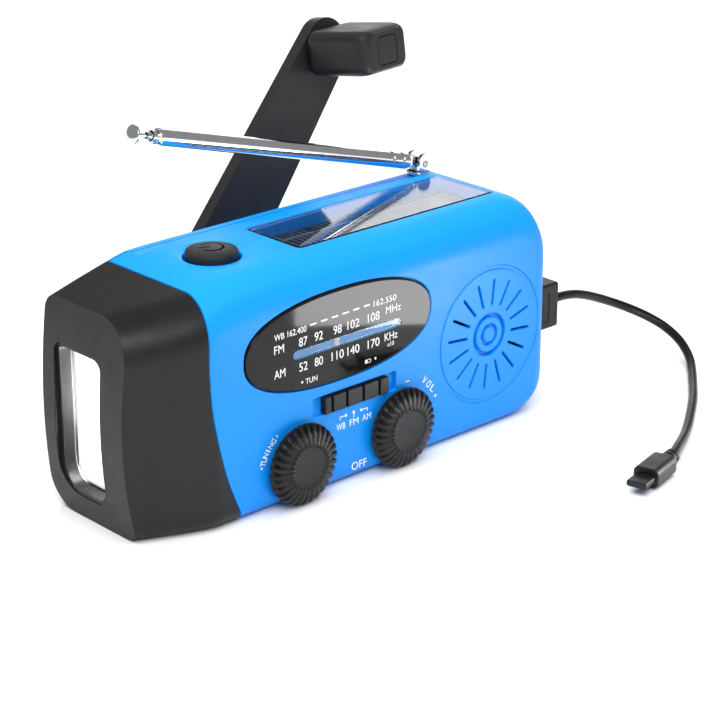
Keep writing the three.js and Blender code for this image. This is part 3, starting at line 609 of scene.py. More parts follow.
def spline(points, steps):
    """Catmull-Rom curve through points of any dimension."""
    ends = [points[0], *points, points[-1]]
    curve = []
    for a, b, c, d in zip(ends, ends[1:], ends[2:], ends[3:]):
        for k in range(steps):
            t = k / steps
            curve.append(tuple(
                0.5 * (2 * q + (r - p) * t + (2 * p - 5 * q + 4 * r - s) * t ** 2
                       + (3 * q - p - 3 * r + s) * t ** 3)
                for p, q, r, s in zip(a, b, c, d)
            ))
    return [*curve, tuple(points[-1])]


def torch_side(name, shift):
    """Everything on the torch side of the S-shaped seam."""
    line = [(x + shift, z) for x, z in spline(SEAM, 8)]
    return prism(name, [(-90, -3), *line, (-90, 61)], "Y", -40, 40)


def tip_side(name, shift):
    """Everything behind the torch's tip, which bows out between floor and top."""
    start, bow, end = [(x + shift, z) for x, z in TIP_CURVE]
    line = []
    for k in range(17):
        t = k / 16
        line.append(tuple(
            a * (1 - t) ** 2 + 2 * b * t * (1 - t) + c * t ** 2 for a, b, c in zip(start, bow, end)
        ))
    return prism(name, [(80, -3), *line, (80, 61)], "Y", -40, 40)


# ---- front shell ----
DIAL = {"x": -8.3, "z": 38.2, "a": 29, "b": 11.4, "power": 2.35}
BAND = {"x": -3.8, "z": 21.9, "half": 13.15, "tall": 2.35}
SPEAKER = middle("speaker_frame")
LEDGE = {"x0": -40, "x1": 60, "y": 13.4, "z": 55.8}
POCKET = {"x": 57.3, "y": 1, "z0": 20.4, "z1": 33.6}
SCREWS = [middle(f"cover_screw_{k}") for k in range(1, 5)]
BUTTON = middle("torch_button")
PORT = middle("usb_socket")
CHARGE = middle("charge_socket")
WHIP = pivot("antenna_swivel")
SOLAR_LOW, SOLAR_HIGH = span("solar_window")
KNOBS = [pivot("tuning_turn"), pivot("volume_turn")]


def solar_outline(margin):
    low, high = SOLAR_LOW, SOLAR_HIGH
    return rounded_rect(low.x - margin, high.x + margin, low.y - margin, high.y + margin, [1.2] * 4, 4)


def dial_outline(margin):
    return superellipse(DIAL["x"], DIAL["z"], DIAL["a"] + margin, DIAL["b"] + margin, DIAL["power"])


def speaker_cutters():
    """Sixteen radial slots through the wall, and ring grooves at the middle and the rim."""
    slots = []
    for k in range(16):
        turn = math.pi / 8 * k + 0.1
        bar = rounded_rect(7.6, 14.2, -0.3, 0.3, [0.28] * 4, 3)
        turned = [
            (SPEAKER.x + u * math.cos(turn) + v * math.sin(turn),
             SPEAKER.z - u * math.sin(turn) + v * math.cos(turn)) for u, v in bar
        ]
        slots.append(pocket("slot", turned, "Y", FRONT, FRONT + 4, 0.3))
    grooves = [groove(5.0, 0.5, 1.3), groove(2.4, 0.42, 1.1), groove(17.2, 0.45, 0.3)]
    return [join("slots", *slots), *grooves]


def groove(radius, half, depth):
    """A ring cutter with rounded shoulders, on the speaker's centre."""
    shoulder = 0.3
    section = [(radius - half - shoulder, -0.5), (radius - half - shoulder, 0)]
    section += [(radius - half - 0.1, 0.12), (radius - half, 0.35), (radius - half * 0.8, depth)]
    section += [(radius + half * 0.8, depth), (radius + half, 0.35), (radius + half + 0.1, 0.12)]
    section += [(radius + half + shoulder, 0), (radius + half + shoulder, -0.5)]
    return ring_cutter("groove", SPEAKER, [(r, FRONT + d) for r, d in section])


def button_dish():
    """A cutter for the shallow dish round the torch button."""
    at = (BUTTON.x, BUTTON.y, 0)
    return lathe("dish", "Z", at, [
        (9.9, TOP + 1), (9.9, TOP + 0.001), (9.5, TOP - 0.07), (8.6, TOP - 0.2), (7.4, TOP - 0.3),
        (6.9, TOP - 0.5), (6.7, TOP - 1), (6.7, TOP - 8),
    ], 64)


def shared_cutters():
    """The antenna's ledge and the folded handle's notch, cut from both halves of the case."""
    return [
        block("ledge", (LEDGE["x0"], LEDGE["y"], LEDGE["z"]), (LEDGE["x1"], 25, 70)),
        block("notch", (POCKET["x"], POCKET["y"], POCKET["z0"]), (80, 30, POCKET["z1"])),
    ]


def front_shell():
    shell = case_body("case_front")
    carve(shell, case_body("hollow", WALL))
    tray = prism("tray", solar_outline(2.1), "Z", 50.2, TOP - 1.5)
    fuse(shell, tray)
    corner = (POCKET["x"] - 1.6, POCKET["y"] - 1.6, POCKET["z0"] - 1.6)
    notch_wall = block("notch_wall", corner, (80, 17, POCKET["z1"] + 1.6))
    fuse(shell, keep(notch_wall, case_body("outer")))
    band = centred(BAND["x"], BAND["z"], BAND["half"], BAND["tall"], 0.5, 3)
    carve(
        shell,
        torch_side("head", SEAM_GAP),
        block("rear", (-90, SPLIT, -10), (90, 40, 80)),
        *shared_cutters(),
        pocket("window", solar_outline(GAP), "Z", TOP, TOP - 1.6, 0.35),
        prism("tray_inside", solar_outline(-0.7), "Z", 51.4, TOP),
        button_dish(),
        pocket("dial", dial_outline(0), "Y", FRONT, FRONT + 1.2, 0.35),
        prism("dial_through", dial_outline(-1.4), "Y", FRONT + 1, FRONT + 4),
        pocket("band", band, "Y", FRONT, FRONT + 1.1, 0.3),
        prism("band_through", rounded_rect(-8.8, 1.2, 20.6, 23.2, [0.2] * 4, 2), "Y", FRONT, FRONT + 4),
        *[hole(knob.x, knob.z, 3.7, "Y", FRONT - 2, FRONT + 4) for knob in KNOBS],
        *speaker_cutters(),
        pocket("port", centred(PORT.y, PORT.z, 3.4, 7.1, 0.6, 3), "X", RIGHT, 60, 0.3),
        pocket("charge", centred(CHARGE.y, CHARGE.z, 4.4, 1.8, 0.6, 3), "X", RIGHT, 60, 0.3),
        hole(WHIP.x, WHIP.y, 2.3, "Z", 50, 60),
    )
    round_edges(shell, 0.3, lambda p: abs(p.y - SPLIT) < 0.02 or on_seam(p))
    return smooth(shell)


def on_seam(point):
    """True on the cut face along the S-shaped seam."""
    line = spline(SEAM, 8)
    return -49 < point.x < -36 and any(
        math.hypot(point.x - x - SEAM_GAP, point.z - z) < 0.9 for x, z in line
    )


# ---- rear cover ----
CRANK = pivot("crank_turn")


def rear_cover():
    cover = keep(case_body("case_rear"), block("plate", (-90, SPLIT + GAP, -10), (90, 40, 80)))
    carve(
        cover,
        torch_side("head", SEAM_GAP),
        *shared_cutters(),
        pocket("bush_seat", circle(CRANK.x, CRANK.z, 8.7, 64), "Y", REAR, REAR - 0.4, 0.3),
        hole(CRANK.x, CRANK.z, 6, "Y", REAR + 1, REAR - 5),
        hole(WHIP.x, WHIP.y, 2.3, "Z", 40, 60),
        *[pocket("head_seat", circle(at.x, at.z, 3.3), "Y", REAR, REAR - 1, 0.3) for at in SCREWS],
        *[hole(at.x, at.z, 1.9, "Y", REAR + 1, REAR - 5) for at in SCREWS],
        *[crank_ring(radius) for radius in (12.4, 14.2)],
    )
    round_edges(cover, 0.3, lambda p: abs(p.y - SPLIT - GAP) < 0.02 or on_seam(p))
    return smooth(cover)


def crank_ring(radius):
    """A fine moulded groove round the crank's bush."""
    section = [(-0.3, 0.5), (-0.3, 0), (-0.15, -0.3), (0.15, -0.3), (0.3, 0), (0.3, 0.5)]
    return ring_cutter("crank_ring", CRANK, [(radius + r, REAR + d) for r, d in section])


def cover_screw(number, at):
    """A pan-head screw with a cross recess."""
    name = f"case_screw_{number}"
    low, high = span(f"cover_screw_{number}")
    head = [(0.02, low.y), (0.7, low.y + 0.6), (0.9, low.y + 1.2), (0.9, high.y - 0.9), (2.75, high.y - 0.9)]
    head += [(2.75, high.y - 0.45), *arc((2.3, high.y - 0.45), 0.45, 0, 90, 3), (0.02, high.y)]
    screw = lathe(name, "Y", (at.x, 0, at.z), head, 32)
    for half_x, half_z in ((1.7, 0.28), (0.28, 1.7)):
        slot = centred(at.x, at.z, half_x, half_z, 0.1, 2)
        carve(screw, prism("recess", slot, "Y", high.y - 0.75, high.y + 1))
    return smooth(screw)


# ---- torch ----
LENS_LOW, LENS_HIGH = span("torch_lens")
MOUTH_RADII = (2.5, 6, 1.5, 2.5)


def mouth_outline(margin):
    low, high = LENS_LOW + Vector((1, 1, 1)), LENS_HIGH - Vector((1, 1, 1))
    radii = [max(r + margin, 0.6) for r in MOUTH_RADII]
    return rounded_rect(low.y - margin, high.y + margin, low.z - margin, high.z + margin, radii, 8)


def torch_head():
    head = keep(case_body("torch_shell"), torch_side("head", -SEAM_GAP))
    keep(head, tip_side("tip", 0))
    core = keep(case_body("core", 2), tip_side("core_tip", 4.8))
    carve(
        head,
        core,
        prism("mouth", mouth_outline(0), "X", -80, -50),
        prism("mouth_step", mouth_outline(1.1), "X", -80, -64),
        prism("seat", mouth_outline(1.3), "X", LENS_LOW.x - 0.3, -50),
    )
    round_edges(head, 0.5, lambda p: p.x < -59, 32, 3)
    round_edges(head, 0.3, on_seam)
    return smooth(head, 30)


def torch_glass():
    return smooth(slab("torch_glass", mouth_outline(1), "X", LENS_HIGH.x, LENS_LOW.x, 0.3))


def torch_dish():
    """The faceted reflector: flat-sided steps that narrow towards the lamp."""
    low, high = span("torch_reflector")
    steps = [(low.x, 0.8), (low.x + 2, 1.7), (low.x + 4.2, 3.1), (low.x + 6.2, 4.3), (high.x, 5.5)]

    def ring(x, inset, wall=0.0):
        y0, y1 = low.y + inset - wall, high.y - inset + wall
        z0, z1 = low.z + inset * 1.6 - wall, high.z - inset * 1.6 + wall
        points = []
        for t in (0, 0.34, 0.66):
            points.append((x, mix(y0 + 2, y1 - 2, t), z0))
        points += [(x, y1 - 2, z0), (x, y1, z0 + 2)]
        for t in (0.2, 0.4, 0.6, 0.8):
            points.append((x, y1, mix(z0 + 2, z1 - 2, t)))
        points += [(x, y1, z1 - 2), (x, y1 - 2, z1)]
        for t in (0.34, 0.66, 1):
            points.append((x, mix(y1 - 2, y0 + 2, t), z1))
        points.append((x, y0, z1 - 2))
        for t in (0.2, 0.4, 0.6, 0.8, 1):
            points.append((x, y0, mix(z1 - 2, z0 + 2, t)))
        return points

    inside = [ring(x, inset) for x, inset in reversed(steps)]
    outside = [ring(x, inset, 0.7) for x, inset in steps]
    return loft("torch_dish", outside + inside, loop=True)


def torch_lamp():
    """A plate that closes the reflector, with the LED's dome on it."""
    low, high = span("torch_led")
    centre = middle("torch_led")
    plate = block("torch_lamp", (high.x - 1, low.y, low.z), (high.x, high.y, high.z))
    dome = [(0.02, low.x)]
    dome += [(2.6 * math.sin(a), low.x + 2.4 * (1 - math.cos(a))) for a in (0.4, 0.8, 1.2, 1.57)]
    dome += [(2.6, high.x - 0.9), (0.02, high.x - 0.9)]
    lens = lathe("dome", "X", (0, centre.y, centre.z), dome, 32)
    return smooth(fuse(plate, lens))


# ---- top: solar panel and torch button ----
def solar_cover():
    return smooth(slab("solar_cover", solar_outline(0), "Z", SOLAR_LOW.z, SOLAR_HIGH.z, 0.35))


def solar_cells():
    """The panel with its four cells standing slightly out of it."""
    low, high = span("solar_panel")
    panel = block("solar_cells", low, (high.x, high.y, high.z - 0.3))
    width = (high.x - low.x - 1) / 4
    for k in range(4):
        x0 = low.x + 0.5 + k * width
        outline = rounded_rect(x0 + 0.25, x0 + width - 0.25, low.y + 0.7, high.y - 0.7, [0.3] * 4, 2)
        fuse(panel, prism("cell", outline, "Z", high.z - 0.5, high.z))
    return smooth(panel)


def torch_button():
    low, high = span("torch_button")
    radius = (high.x - low.x) / 2
    profile = [(0.02, low.z), (2, low.z), (2, low.z + 2), (radius, low.z + 2), (radius, high.z - 1.3)]
    profile += arc((radius - 0.7, high.z - 1.3), 0.7, 0, 75, 5)
    for t in (0.2, 0.4, 0.6, 0.8, 0.96):
        profile.append((radius * (1 - t), high.z - 0.6 + 0.6 * (1 - (1 - t) ** 2)))
    profile.append((0.02, high.z))
    button = lathe("power_button", "Z", (BUTTON.x, BUTTON.y, 0), profile, 64)
    carve(button, *power_mark(high.z))
    return smooth(button)


def power_mark(top):
    """Cutters for the engraved on/off sign: an open ring and a bar through its gap."""
    turn = math.radians(152)
    ring = []
    for k in range(29):
        angle = math.radians(40) + math.radians(280) * k / 28 + turn
        ring.append((math.cos(angle), math.sin(angle)))
    outline = [(BUTTON.x + 3 * c, BUTTON.y + 3 * s) for c, s in ring]
    outline += [(BUTTON.x + 2.35 * c, BUTTON.y + 2.35 * s) for c, s in reversed(ring)]
    bar = []
    for u, v in ((0.3, -0.33), (3.2, -0.33), (3.2, 0.33), (0.3, 0.33)):
        bar.append((
            BUTTON.x + u * math.cos(turn) - v * math.sin(turn),
            BUTTON.y + u * math.sin(turn) + v * math.cos(turn),
        ))
    return [prism("mark", shape, "Z", top - 0.75, top + 1) for shape in (outline, bar)]


# ---- dial ----
STRIP = {"x0": -23.1, "x1": 10.7, "z": 36.6, "half": 1.15}
DIAL_FACE = span("dial_window")[0].y
PRINT = 0.05


def strip_outline(margin):
    return rounded_rect(
        STRIP["x0"] - margin, STRIP["x1"] + margin, STRIP["z"] - STRIP["half"] - margin,
        STRIP["z"] + STRIP["half"] + margin, [STRIP["half"] + margin - 0.01] * 4, 6,
    )


def dial_face():
    back = span("dial_window")[1].y
    face = slab("dial_face", dial_outline(-GAP), "Y", back, DIAL_FACE, 0.4, 5)
    carve(face, prism("strip", strip_outline(0), "Y", DIAL_FACE - 1, back + 1))
    return smooth(face)


def dial_strip():
    """The clear strip that the pointer is read through."""
    return smooth(slab("dial_strip", strip_outline(-0.03), "Y", DIAL_FACE + 0.9, DIAL_FACE + 0.05, 0.1, 2))


# The dial's backing, made to glow blue: painted light behind the dark face.
def dial_glow():
    low, high = span("dial_backing")
    outline = rounded_rect(low.x, high.x, low.z, high.z, [0.6] * 4, 3)
    return smooth(slab("dial_glow", outline, "Y", high.y, low.y, 0.2, 2))


def dial_needle():
    low, high = span("dial_pointer")
    x = (low.x + high.x) / 2
    blade = rounded_rect(x - 0.8, x + 0.8, low.z + 0.2, high.z, [0.2] * 4, 2)
    foot = rounded_rect(x - 2.5, x + 2.5, low.z, high.z, [0.3] * 4, 2)
    stem = rounded_rect(x - 0.5, x + 0.5, low.z, low.z + 0.8, [0.1] * 4, 2)
    needle = slab("dial_needle", blade, "Y", low.y + 0.8, low.y, 0.15, 2)
    fuse(needle, prism("stem", stem, "Y", low.y + 0.4, high.y - 0.5))
    fuse(needle, prism("foot", foot, "Y", high.y - 1, high.y))
    return smooth(needle)


def letters(text):
    """A text's flat outline as a mesh of size 1, with its width and the height of its capitals."""
    curve = bpy.data.curves.new("text", "FONT")
    curve.body = text
    curve.extrude = 0.5
    holder = link("text", curve)
    bpy.context.view_layer.update()
    mesh = bpy.data.meshes.new_from_object(holder.evaluated_get(bpy.context.evaluated_depsgraph_get()))
    bpy.data.objects.remove(holder)
    points = [vertex.co.copy() for vertex in mesh.vertices]
    return mesh, min(p.x for p in points), max(p.x for p in points), max(p.y for p in points)


def inscription(text, x, z, height, width=None, turn=0.0, face=None):
    """Thin raised lettering on the front, centred on a point; width squeezes it to fit."""
    face = FRONT if face is None else face
    mesh, left, right, _ = letters(text)
    cap = letters("H")[3]
    tall = height / cap
    wide = tall * 0.8 if width is None else width / (right - left)
    for vertex in mesh.vertices:
        u = (vertex.co.x - (left + right) / 2) * wide
        v = (vertex.co.y - cap / 2) * tall
        depth = face - PRINT / 2 - vertex.co.z * PRINT
        vertex.co = Vector((
            x + u * math.cos(turn) - v * math.sin(turn), depth, z + u * math.sin(turn) + v * math.cos(turn),
        )) * MM
    clean(mesh)
    return link("letters", mesh)


def dash(x, z, half_u, half_v, face):
    outline = centred(x, z, half_u, half_v, 0.05, 1)
    return prism("dash", outline, "Y", face, face - PRINT)


def dial_print():
    """The scales: weather band, FM and AM rows, with their units, lamp names and battery sign."""
    rows = [
        ("WB 162.400", -23.9, 42.5, 1.45, 9.6), ("162.550", 5.3, 43.2, 1.45, 7.2),
        ("FM", -27.3, 39.5, 2.0, 2.9), ("AM", -27.2, 33.6, 2.0, 3.3),
        ("MHz", 8.0, 40.6, 1.9, 4.8), ("KHz", 7.3, 33.9, 1.9, 4.1), ("x10", 7.2, 31.9, 1.1, 2.1),
        ("TUN", -17.7, 29.6, 1.3, 3.6),
    ]
    marks = [inscription(t, x, z, h, w, face=DIAL_FACE) for t, x, z, h, w in rows]
    for x, upper, lower in (
        (-20.1, "87", "52"), (-15.4, "92", "80"), (-9.6, "98", "110"), (-4.7, "102", "140"),
        (1.7, "108", "170"),
    ):
        marks.append(inscription(upper, x, 39.6 + 0.02 * (x + 20), 2.05, 1.25 * len(upper), face=DIAL_FACE))
        marks.append(inscription(lower, x, 33.5, 2.05, 1.25 * len(lower), face=DIAL_FACE))
    for k in range(6):
        marks.append(dash(-17 + 3.3 * k, 43 + 0.07 * k, 0.95, 0.2, DIAL_FACE))
    marks.append(dash(-0.6, 29.4, 0.4, 0.45, DIAL_FACE))
    marks += [dash(0.3, 29.4 + side * 0.4, 0.45, 0.06, DIAL_FACE) for side in (-1, 1)]
    marks.append(dash(0.8, 29.4, 0.07, 0.35, DIAL_FACE))
    for x, z in ((-20.5, 29.7), (2.3, 29.5)):
        marks.append(prism("lamp_dot", circle(x, z, 0.3, 12), "Y", DIAL_FACE, DIAL_FACE - PRINT))
    return join("dial_print", *marks)


def front_print():
    """White lettering on the case for the band switch and both knobs."""
    marks = [
        inscription("WB", -8.4, 15.1, 1.6, 2.8), inscription("FM", -4.2, 15.15, 1.6, 2.8),
        inscription("AM", -0.2, 15.3, 1.6, 2.8), inscription("OFF", -2.6, 3.7, 1.95, 4.8),
    ]
    for k, letter in enumerate("TUNING"):
        t = (k + 1) / 7
        x, z = mix(-32.7, -28, t) - 0.75 * math.sin(math.pi * t), mix(11.7, 18.4, t)
        width = 0.35 if letter == "I" else 1.1
        marks.append(inscription(letter, x, z, 1.5, width, math.radians(mix(68, 48, t))))
    for x, z in ((-32.7, 11.7), (-28, 18.4)):
        marks.append(prism("dot", circle(x, z, 0.25, 12), "Y", FRONT, FRONT - PRINT))
    for k, letter in enumerate("VOL"):
        marks.append(inscription(letter, 18.8 + 1.4 * k, 19.4 - 1.45 * k, 1.8, 1.3, math.radians(-44)))
    marks += [dash(13.1, 20.6, 0.6, 0.12, FRONT), dash(22.5, 14.3, 0.45, 0.1, FRONT)]
    marks.append(dash(22.5, 14.3, 0.1, 0.45, FRONT - PRINT))
    for x, z, turn in ((-7.3, 17.5, -1), (-4.3, 17.6, 0), (-1.4, 17.5, 1)):
        marks.append(prism("band_dot", circle(x - 0.5 * turn, z, 0.38, 16), "Y", FRONT, FRONT - PRINT))
        if turn:
            marks.append(dash(x + 0.7 * turn, z, 0.75, 0.1, FRONT))
            marks.append(dash(x + 1.35 * turn, z - 0.35, 0.1, 0.4, FRONT - PRINT))
        else:
            marks.append(dash(x, z - 0.8, 0.12, 0.5, FRONT))
    return join("front_print", *marks)


# ---- knobs and band switch ----
FLUTES = 30


def knob(name, node):
    """A knob whose rounded shoulder is cut by thirty swirled flutes that notch its flat face."""
    low, high = span(node)
    at = ((low.x + high.x) / 2, 0, (low.z + high.z) / 2)
    base, face = (high.x - low.x) / 2 + 0.4, 5.9
    back, front_y = FRONT - 1.3, low.y
    profile = [(0.02, high.y), (2.4, high.y), (2.4, back + 0.9), (5, back + 0.9), (5, back)]
    profile += [(base - 0.4, back), (base, back - 0.5)]
    flank = len(profile)
    rows = 12
    for k in range(1, rows + 1):
        t = k / rows
        radius = face + (base - face) * math.sqrt(max(1 - t ** 2.1, 0))
        profile.append((radius, mix(back - 0.5, front_y + 0.25, t)))
    profile += [(face - 0.25, front_y), (face - 0.55, front_y), (face - 0.6, front_y + 0.12)]
    profile.append((0.02, front_y + 0.1))

    def fluted(angle, row):
        t = (row - flank) / rows
        if t < -0.02 or row > flank + rows + 1:
            return 1, 0
        phase = (angle * FLUTES / (2 * math.pi)) % 1
        groove = math.exp(-((phase - 0.5) / 0.2) ** 4)
        deep = 0.14 * min(1, 0.35 + 3 * max(t, 0))
        swirl = 0.03 * math.sin(min(max(t, 0), 1) * math.pi) + 0.06 * t
        return 1 - deep * groove, swirl

    return smooth(lathe(name, "Y", at, profile, FLUTES * 10, fluted), 50)


def band_grip():
    """The slider, with grip grooves across it and a small mark notched in its lower edge."""
    low, high = span("band_slider")
    x, z = (low.x + high.x) / 2, (low.z + high.z) / 2
    outline = rounded_rect(low.x, high.x, z - 2.05, z + 2.05, [0.3] * 4, 3)
    grip = slab("band_grip", outline, "Y", FRONT + 0.75, low.y, 0.3, 3)
    foot = centred(x, z, 2.5, 0.9, 0.2, 2)
    fuse(grip, prism("foot", foot, "Y", FRONT + 0.6, high.y))
    for offset in (-7.9, -3.3, 1.9, 7):
        rib = centred(x + offset, z, 0.35, 3, 0.1, 2)
        carve(grip, pocket("rib", rib, "Y", low.y, low.y + 0.9, 0.15))
    notch = [(x + 0.2, z - 3), (x + 2.2, z - 3), (x + 1.9, z - 1.5), (x + 0.5, z - 1.5)]
    carve(grip, prism("notch", notch, "Y", low.y - 1, low.y + 0.5))
    return smooth(grip)


# ---- speaker ----
def speaker_basket():
    low, high = span("speaker_frame")
    rim = (high.x - low.x) / 2
    profile = [
        (0.02, -7.8), (7.2, -7.8), (7.2, -9.6), (13.6, -15.4), (15.2, -16.2), (15.2, low.y), (rim, low.y),
        (rim, -15.4), (14.4, -15.2), (8.6, -10), (8.6, high.y), (0.02, high.y),
    ]
    return smooth(lathe("speaker_basket", "Y", (SPEAKER.x, 0, SPEAKER.z), profile, 64))


def speaker_membrane():
    low, high = span("speaker_cone")
    profile = [(0.02, -15.4), (1.5, -15.3), (3, -14.9), (4.4, -14.1), (5, -13.6), (8, -14.9), (11.4, -16.2)]
    profile += [(12.2, -16.7), (13, -16.9), (13.8, low.y + 0.2), (14.4, low.y), (14.4, low.y + 0.6)]
    profile += [(13, -16.2), (11.6, -15.6), (5.4, -12.6), (5.4, high.y), (0.02, high.y)]
    return smooth(lathe("speaker_membrane", "Y", (SPEAKER.x, 0, SPEAKER.z), profile, 64))


# ---- crank ----
FOLD_AXIS = Vector(JOINTS["crank_fold"]["axis"])
TURN = math.atan2(-FOLD_AXIS.x, FOLD_AXIS.z)
FOLD = math.radians(-JOINTS["crank_fold"]["range_deg"][0])
ARM = {"length": 89.5, "root": 22, "tip": 16, "half": 2.2, "back": 1.2}
TO_CRANK = Matrix.Translation(CRANK * MM) @ Matrix.Rotation(-TURN, 4, "Y")
TO_ARM = TO_CRANK @ Matrix.Rotation(FOLD, 4, "Z")
TO_HANDLE = TO_ARM @ Matrix.Translation((ARM["length"] * MM, 0, 0)) @ Matrix.Rotation(TURN, 4, "Y")
HANDLE = {"wide": 9.1, "tall": 5.7, "near": -2.8, "far": -21.8}


def put(piece, matrix):
    piece.data.transform(matrix)
    return piece


def crank_boss():
    """The turning hub with the block that the arm hinges on."""
    profile = [(0.02, -13.6), (2.75, -13.6), (2.75, -3.2), (9, -3.2)]
    profile += arc((9.2, -2.9), 0.4, -60, 90, 4) + [(0.02, -2.5)]
    hub = lathe("crank_boss", "Y", (0, 0, 0), profile, 64)
    knuckle = [(-3, -2.8), (3, -2.8), (3, 0), *arc((0, 0), 3, 0, 180, 16)[1:-1], (-3, 0)]
    fuse(hub, prism("knuckle", knuckle, "Z", -4, 4))
    carve(hub, hole(0, 0, 1.3, "Z", -6, 6))
    round_edges(hub, 0.25, lambda p: p.y > -2.2, 50)
    return put(smooth(hub), TO_CRANK)


def crank_lever():
    half, root, tip = ARM["half"], ARM["root"] / 2, ARM["tip"] / 2
    end = arc((ARM["length"], 0), tip, -90, 90, 24)
    outline = [(0, -root), *end, (0, root)]
    lever = prism("crank_lever", outline, "Y", -half, ARM["back"])
    fuse(lever, prism("knuckle", circle(0, 0, half - 0.001, 32), "Z", -root, root))
    carve(
        lever,
        block("fork", (-4, -5, -4.4), (6.5, 5, 4.4)),
        hole(0, 0, 1.3, "Z", -10.2, 10.2),
        hole(ARM["length"], 0, 1.9, "Y", -5, 0.8),
    )
    round_edges(lever, 0.55, lambda p: p.x > 3 or abs(p.z) > root - 0.1, 50, 3)
    return put(smooth(lever), TO_ARM)


def crank_grip():
    """The rounded handle: a soft block, widest in its middle, with a seat for its end cap."""
    near, far = HANDLE["near"], HANDLE["far"]
    rings = []
    rows = 18
    for k in range(rows + 1):
        t = k / rows
        y = mix(near, far, t)
        rounding = min(1, math.sqrt(max(1 - max(0, 1 - t / 0.12) ** 2, 0)) * 0.1 + 0.9)
        end = math.sqrt(max(1 - max(0, (t - 0.78) / 0.22) ** 2, 0))
        wide = HANDLE["wide"] * rounding * (0.76 + 0.24 * end)
        tall = HANDLE["tall"] * rounding * (0.8 + 0.2 * end)
        outline = rounded_rect(-wide, wide, -tall, tall, [2.6] * 4, 8)
        rings.append([(u, y, v) for u, v in outline])
    grip = loft("crank_grip", rings)
    carve(
        grip,
        hole(0, 0, 2.2, "Y", far + 4, 5),
        pocket("cap_seat", rounded_rect(-3.85, 3.85, -3.65, 3.65, [1.5] * 4, 4), "Y", far, far + 4.3, 0.15),
    )
    round_edges(grip, 0.6, lambda p: p.y > near - 0.05 and abs(p.x) > 3, 50, 3)
    return put(smooth(grip, 40), TO_HANDLE)


def grip_cap():
    far = HANDLE["far"]
    cap = slab("grip_cap", rounded_rect(-3.7, 3.7, -3.5, 3.5, [1.4] * 4, 5), "Y", far + 1.2, far, 0.3, 3)
    for side in (-1, 1):
        leg = rounded_rect(side * 3 - 0.3, side * 3 + 0.3, -1, 1, [0.1] * 4, 2)
        fuse(cap, prism("leg", leg, "Y", far + 0.8, far + 4.1))
    return put(smooth(cap), TO_HANDLE)


# ---- whip ----
TILT = math.radians(-JOINTS["antenna_tilt"]["range_deg"][0])
TO_WHIP = Matrix.Translation(WHIP * MM) @ Matrix.Rotation(math.pi + TILT, 4, "Y")
WHIP_LENGTH = 94
TUBE_END = WHIP_LENGTH - 7.2
TUBES = (2.1, 1.5, 1.0, 0.5)


def whip_swivel():
    profile = [(0.02, -9.2), (1.2, -9.2), (1.2, -3.4), (2, -3.4), (2, -2.9), (2.7, -2.9)]
    profile += arc((2.65, -2.4), 0.5, -80, 80, 6) + [(2.5, -1.9), (0.02, -1.9)]
    swivel = lathe("whip_swivel", "Z", (0, 0, 0), profile, 40)
    cheek = [(-1.9, -2.4), (1.9, -2.4), *arc((0, 0.9), 1.9, 0, 180, 16)]
    for side in (-1, 1):
        fuse(swivel, prism("cheek", cheek, "Y", side * 1.5, side * 2.5))
    carve(swivel, hole(0, 0, 0.9, 24, "Y", -5, 5))
    round_edges(swivel, 0.2, lambda p: p.z > -1.7 and math.hypot(p.x, p.z) > 1.2, 50)
    swivel.data.transform(Matrix.Translation(WHIP * MM))
    return smooth(swivel)


def whip_tube():
    """The outer tube with its flat knuckle, two ring grooves and a stepped collar at its mouth."""
    r = TUBES[0]
    profile = [(0.02, 4.4), (1.6, 4.4), (1.9, 4.6), (r, 5)]
    for groove_at in (7.0, 10.6):
        profile += [(r, groove_at - 0.25), (r - 0.12, groove_at - 0.05), (r - 0.4, groove_at + 0.1)]
        profile += [(r - 0.4, groove_at + 0.5), (r - 0.12, groove_at + 0.65), (r, groove_at + 0.85)]
    profile += [(r, TUBE_END - 0.9), (r - 0.15, TUBE_END - 0.75), (r - 0.15, TUBE_END - 0.45)]
    profile += [(r - 0.35, TUBE_END - 0.2), (r - 0.35, TUBE_END), (r - 0.48, TUBE_END)]
    profile += [(r - 0.48, 9.3), (0.02, 9.3)]
    tube = lathe("whip_tube_1", "X", (0, 0, 0), profile, 40)
    tongue = [*arc((0, 0), 1.45, 90, 270, 12), (5, -1.45), (5, 1.45)]
    fuse(tube, prism("tongue", tongue, "Y", -1.1, 1.1))
    carve(tube, hole(0, 0, 0.9, 24, "Y", -3, 3))
    round_edges(tube, 0.15, lambda p: p.x < 4.2, 50)
    return put(smooth(tube), TO_WHIP)


def whip_stage(number, start, proud):
    """An inner tube: a thin sleeve with a rounded lip standing out of the one around it."""
    r = TUBES[number - 1]
    end = TUBE_END + proud
    inner = r - 0.26
    profile = [(r, start), (r, end - 0.25), (r - 0.08, end - 0.05), (r - 0.18, end)]
    profile += [(inner, end), (inner, start)]
    rings = [[
        (h, radius * math.cos(math.pi / 16 * k), radius * math.sin(math.pi / 16 * k)) for radius, h in profile
    ] for k in range(32)]
    return put(smooth(loft(f"whip_tube_{number}", rings, loop=True)), TO_WHIP)


def whip_rod():
    r, start, end = TUBES[3], 12, WHIP_LENGTH - 2.6
    edge = r / 3
    profile = [(r - edge, start), (r, start + edge), (r, end - edge), (r - edge, end)]
    return put(smooth(lathe("whip_rod", "X", (0, 0, 0), profile, 24)), TO_WHIP)


def whip_tip():
    end = WHIP_LENGTH
    profile = [(0.02, end - 2.3), (0.75, end - 2.3), (0.85, end - 2.2), (1.5, end - 1.45), (1.7, end - 1.3)]
    profile += [(2.15, end - 1.2), (2.3, end - 1.05), (2.3, end - 0.6), (2.1, end - 0.35), (1.5, end - 0.12)]
    profile += [(0.8, end - 0.02), (0.02, end)]
    return put(smooth(lathe("whip_tip", "X", (0, 0, 0), profile, 40)), TO_WHIP)


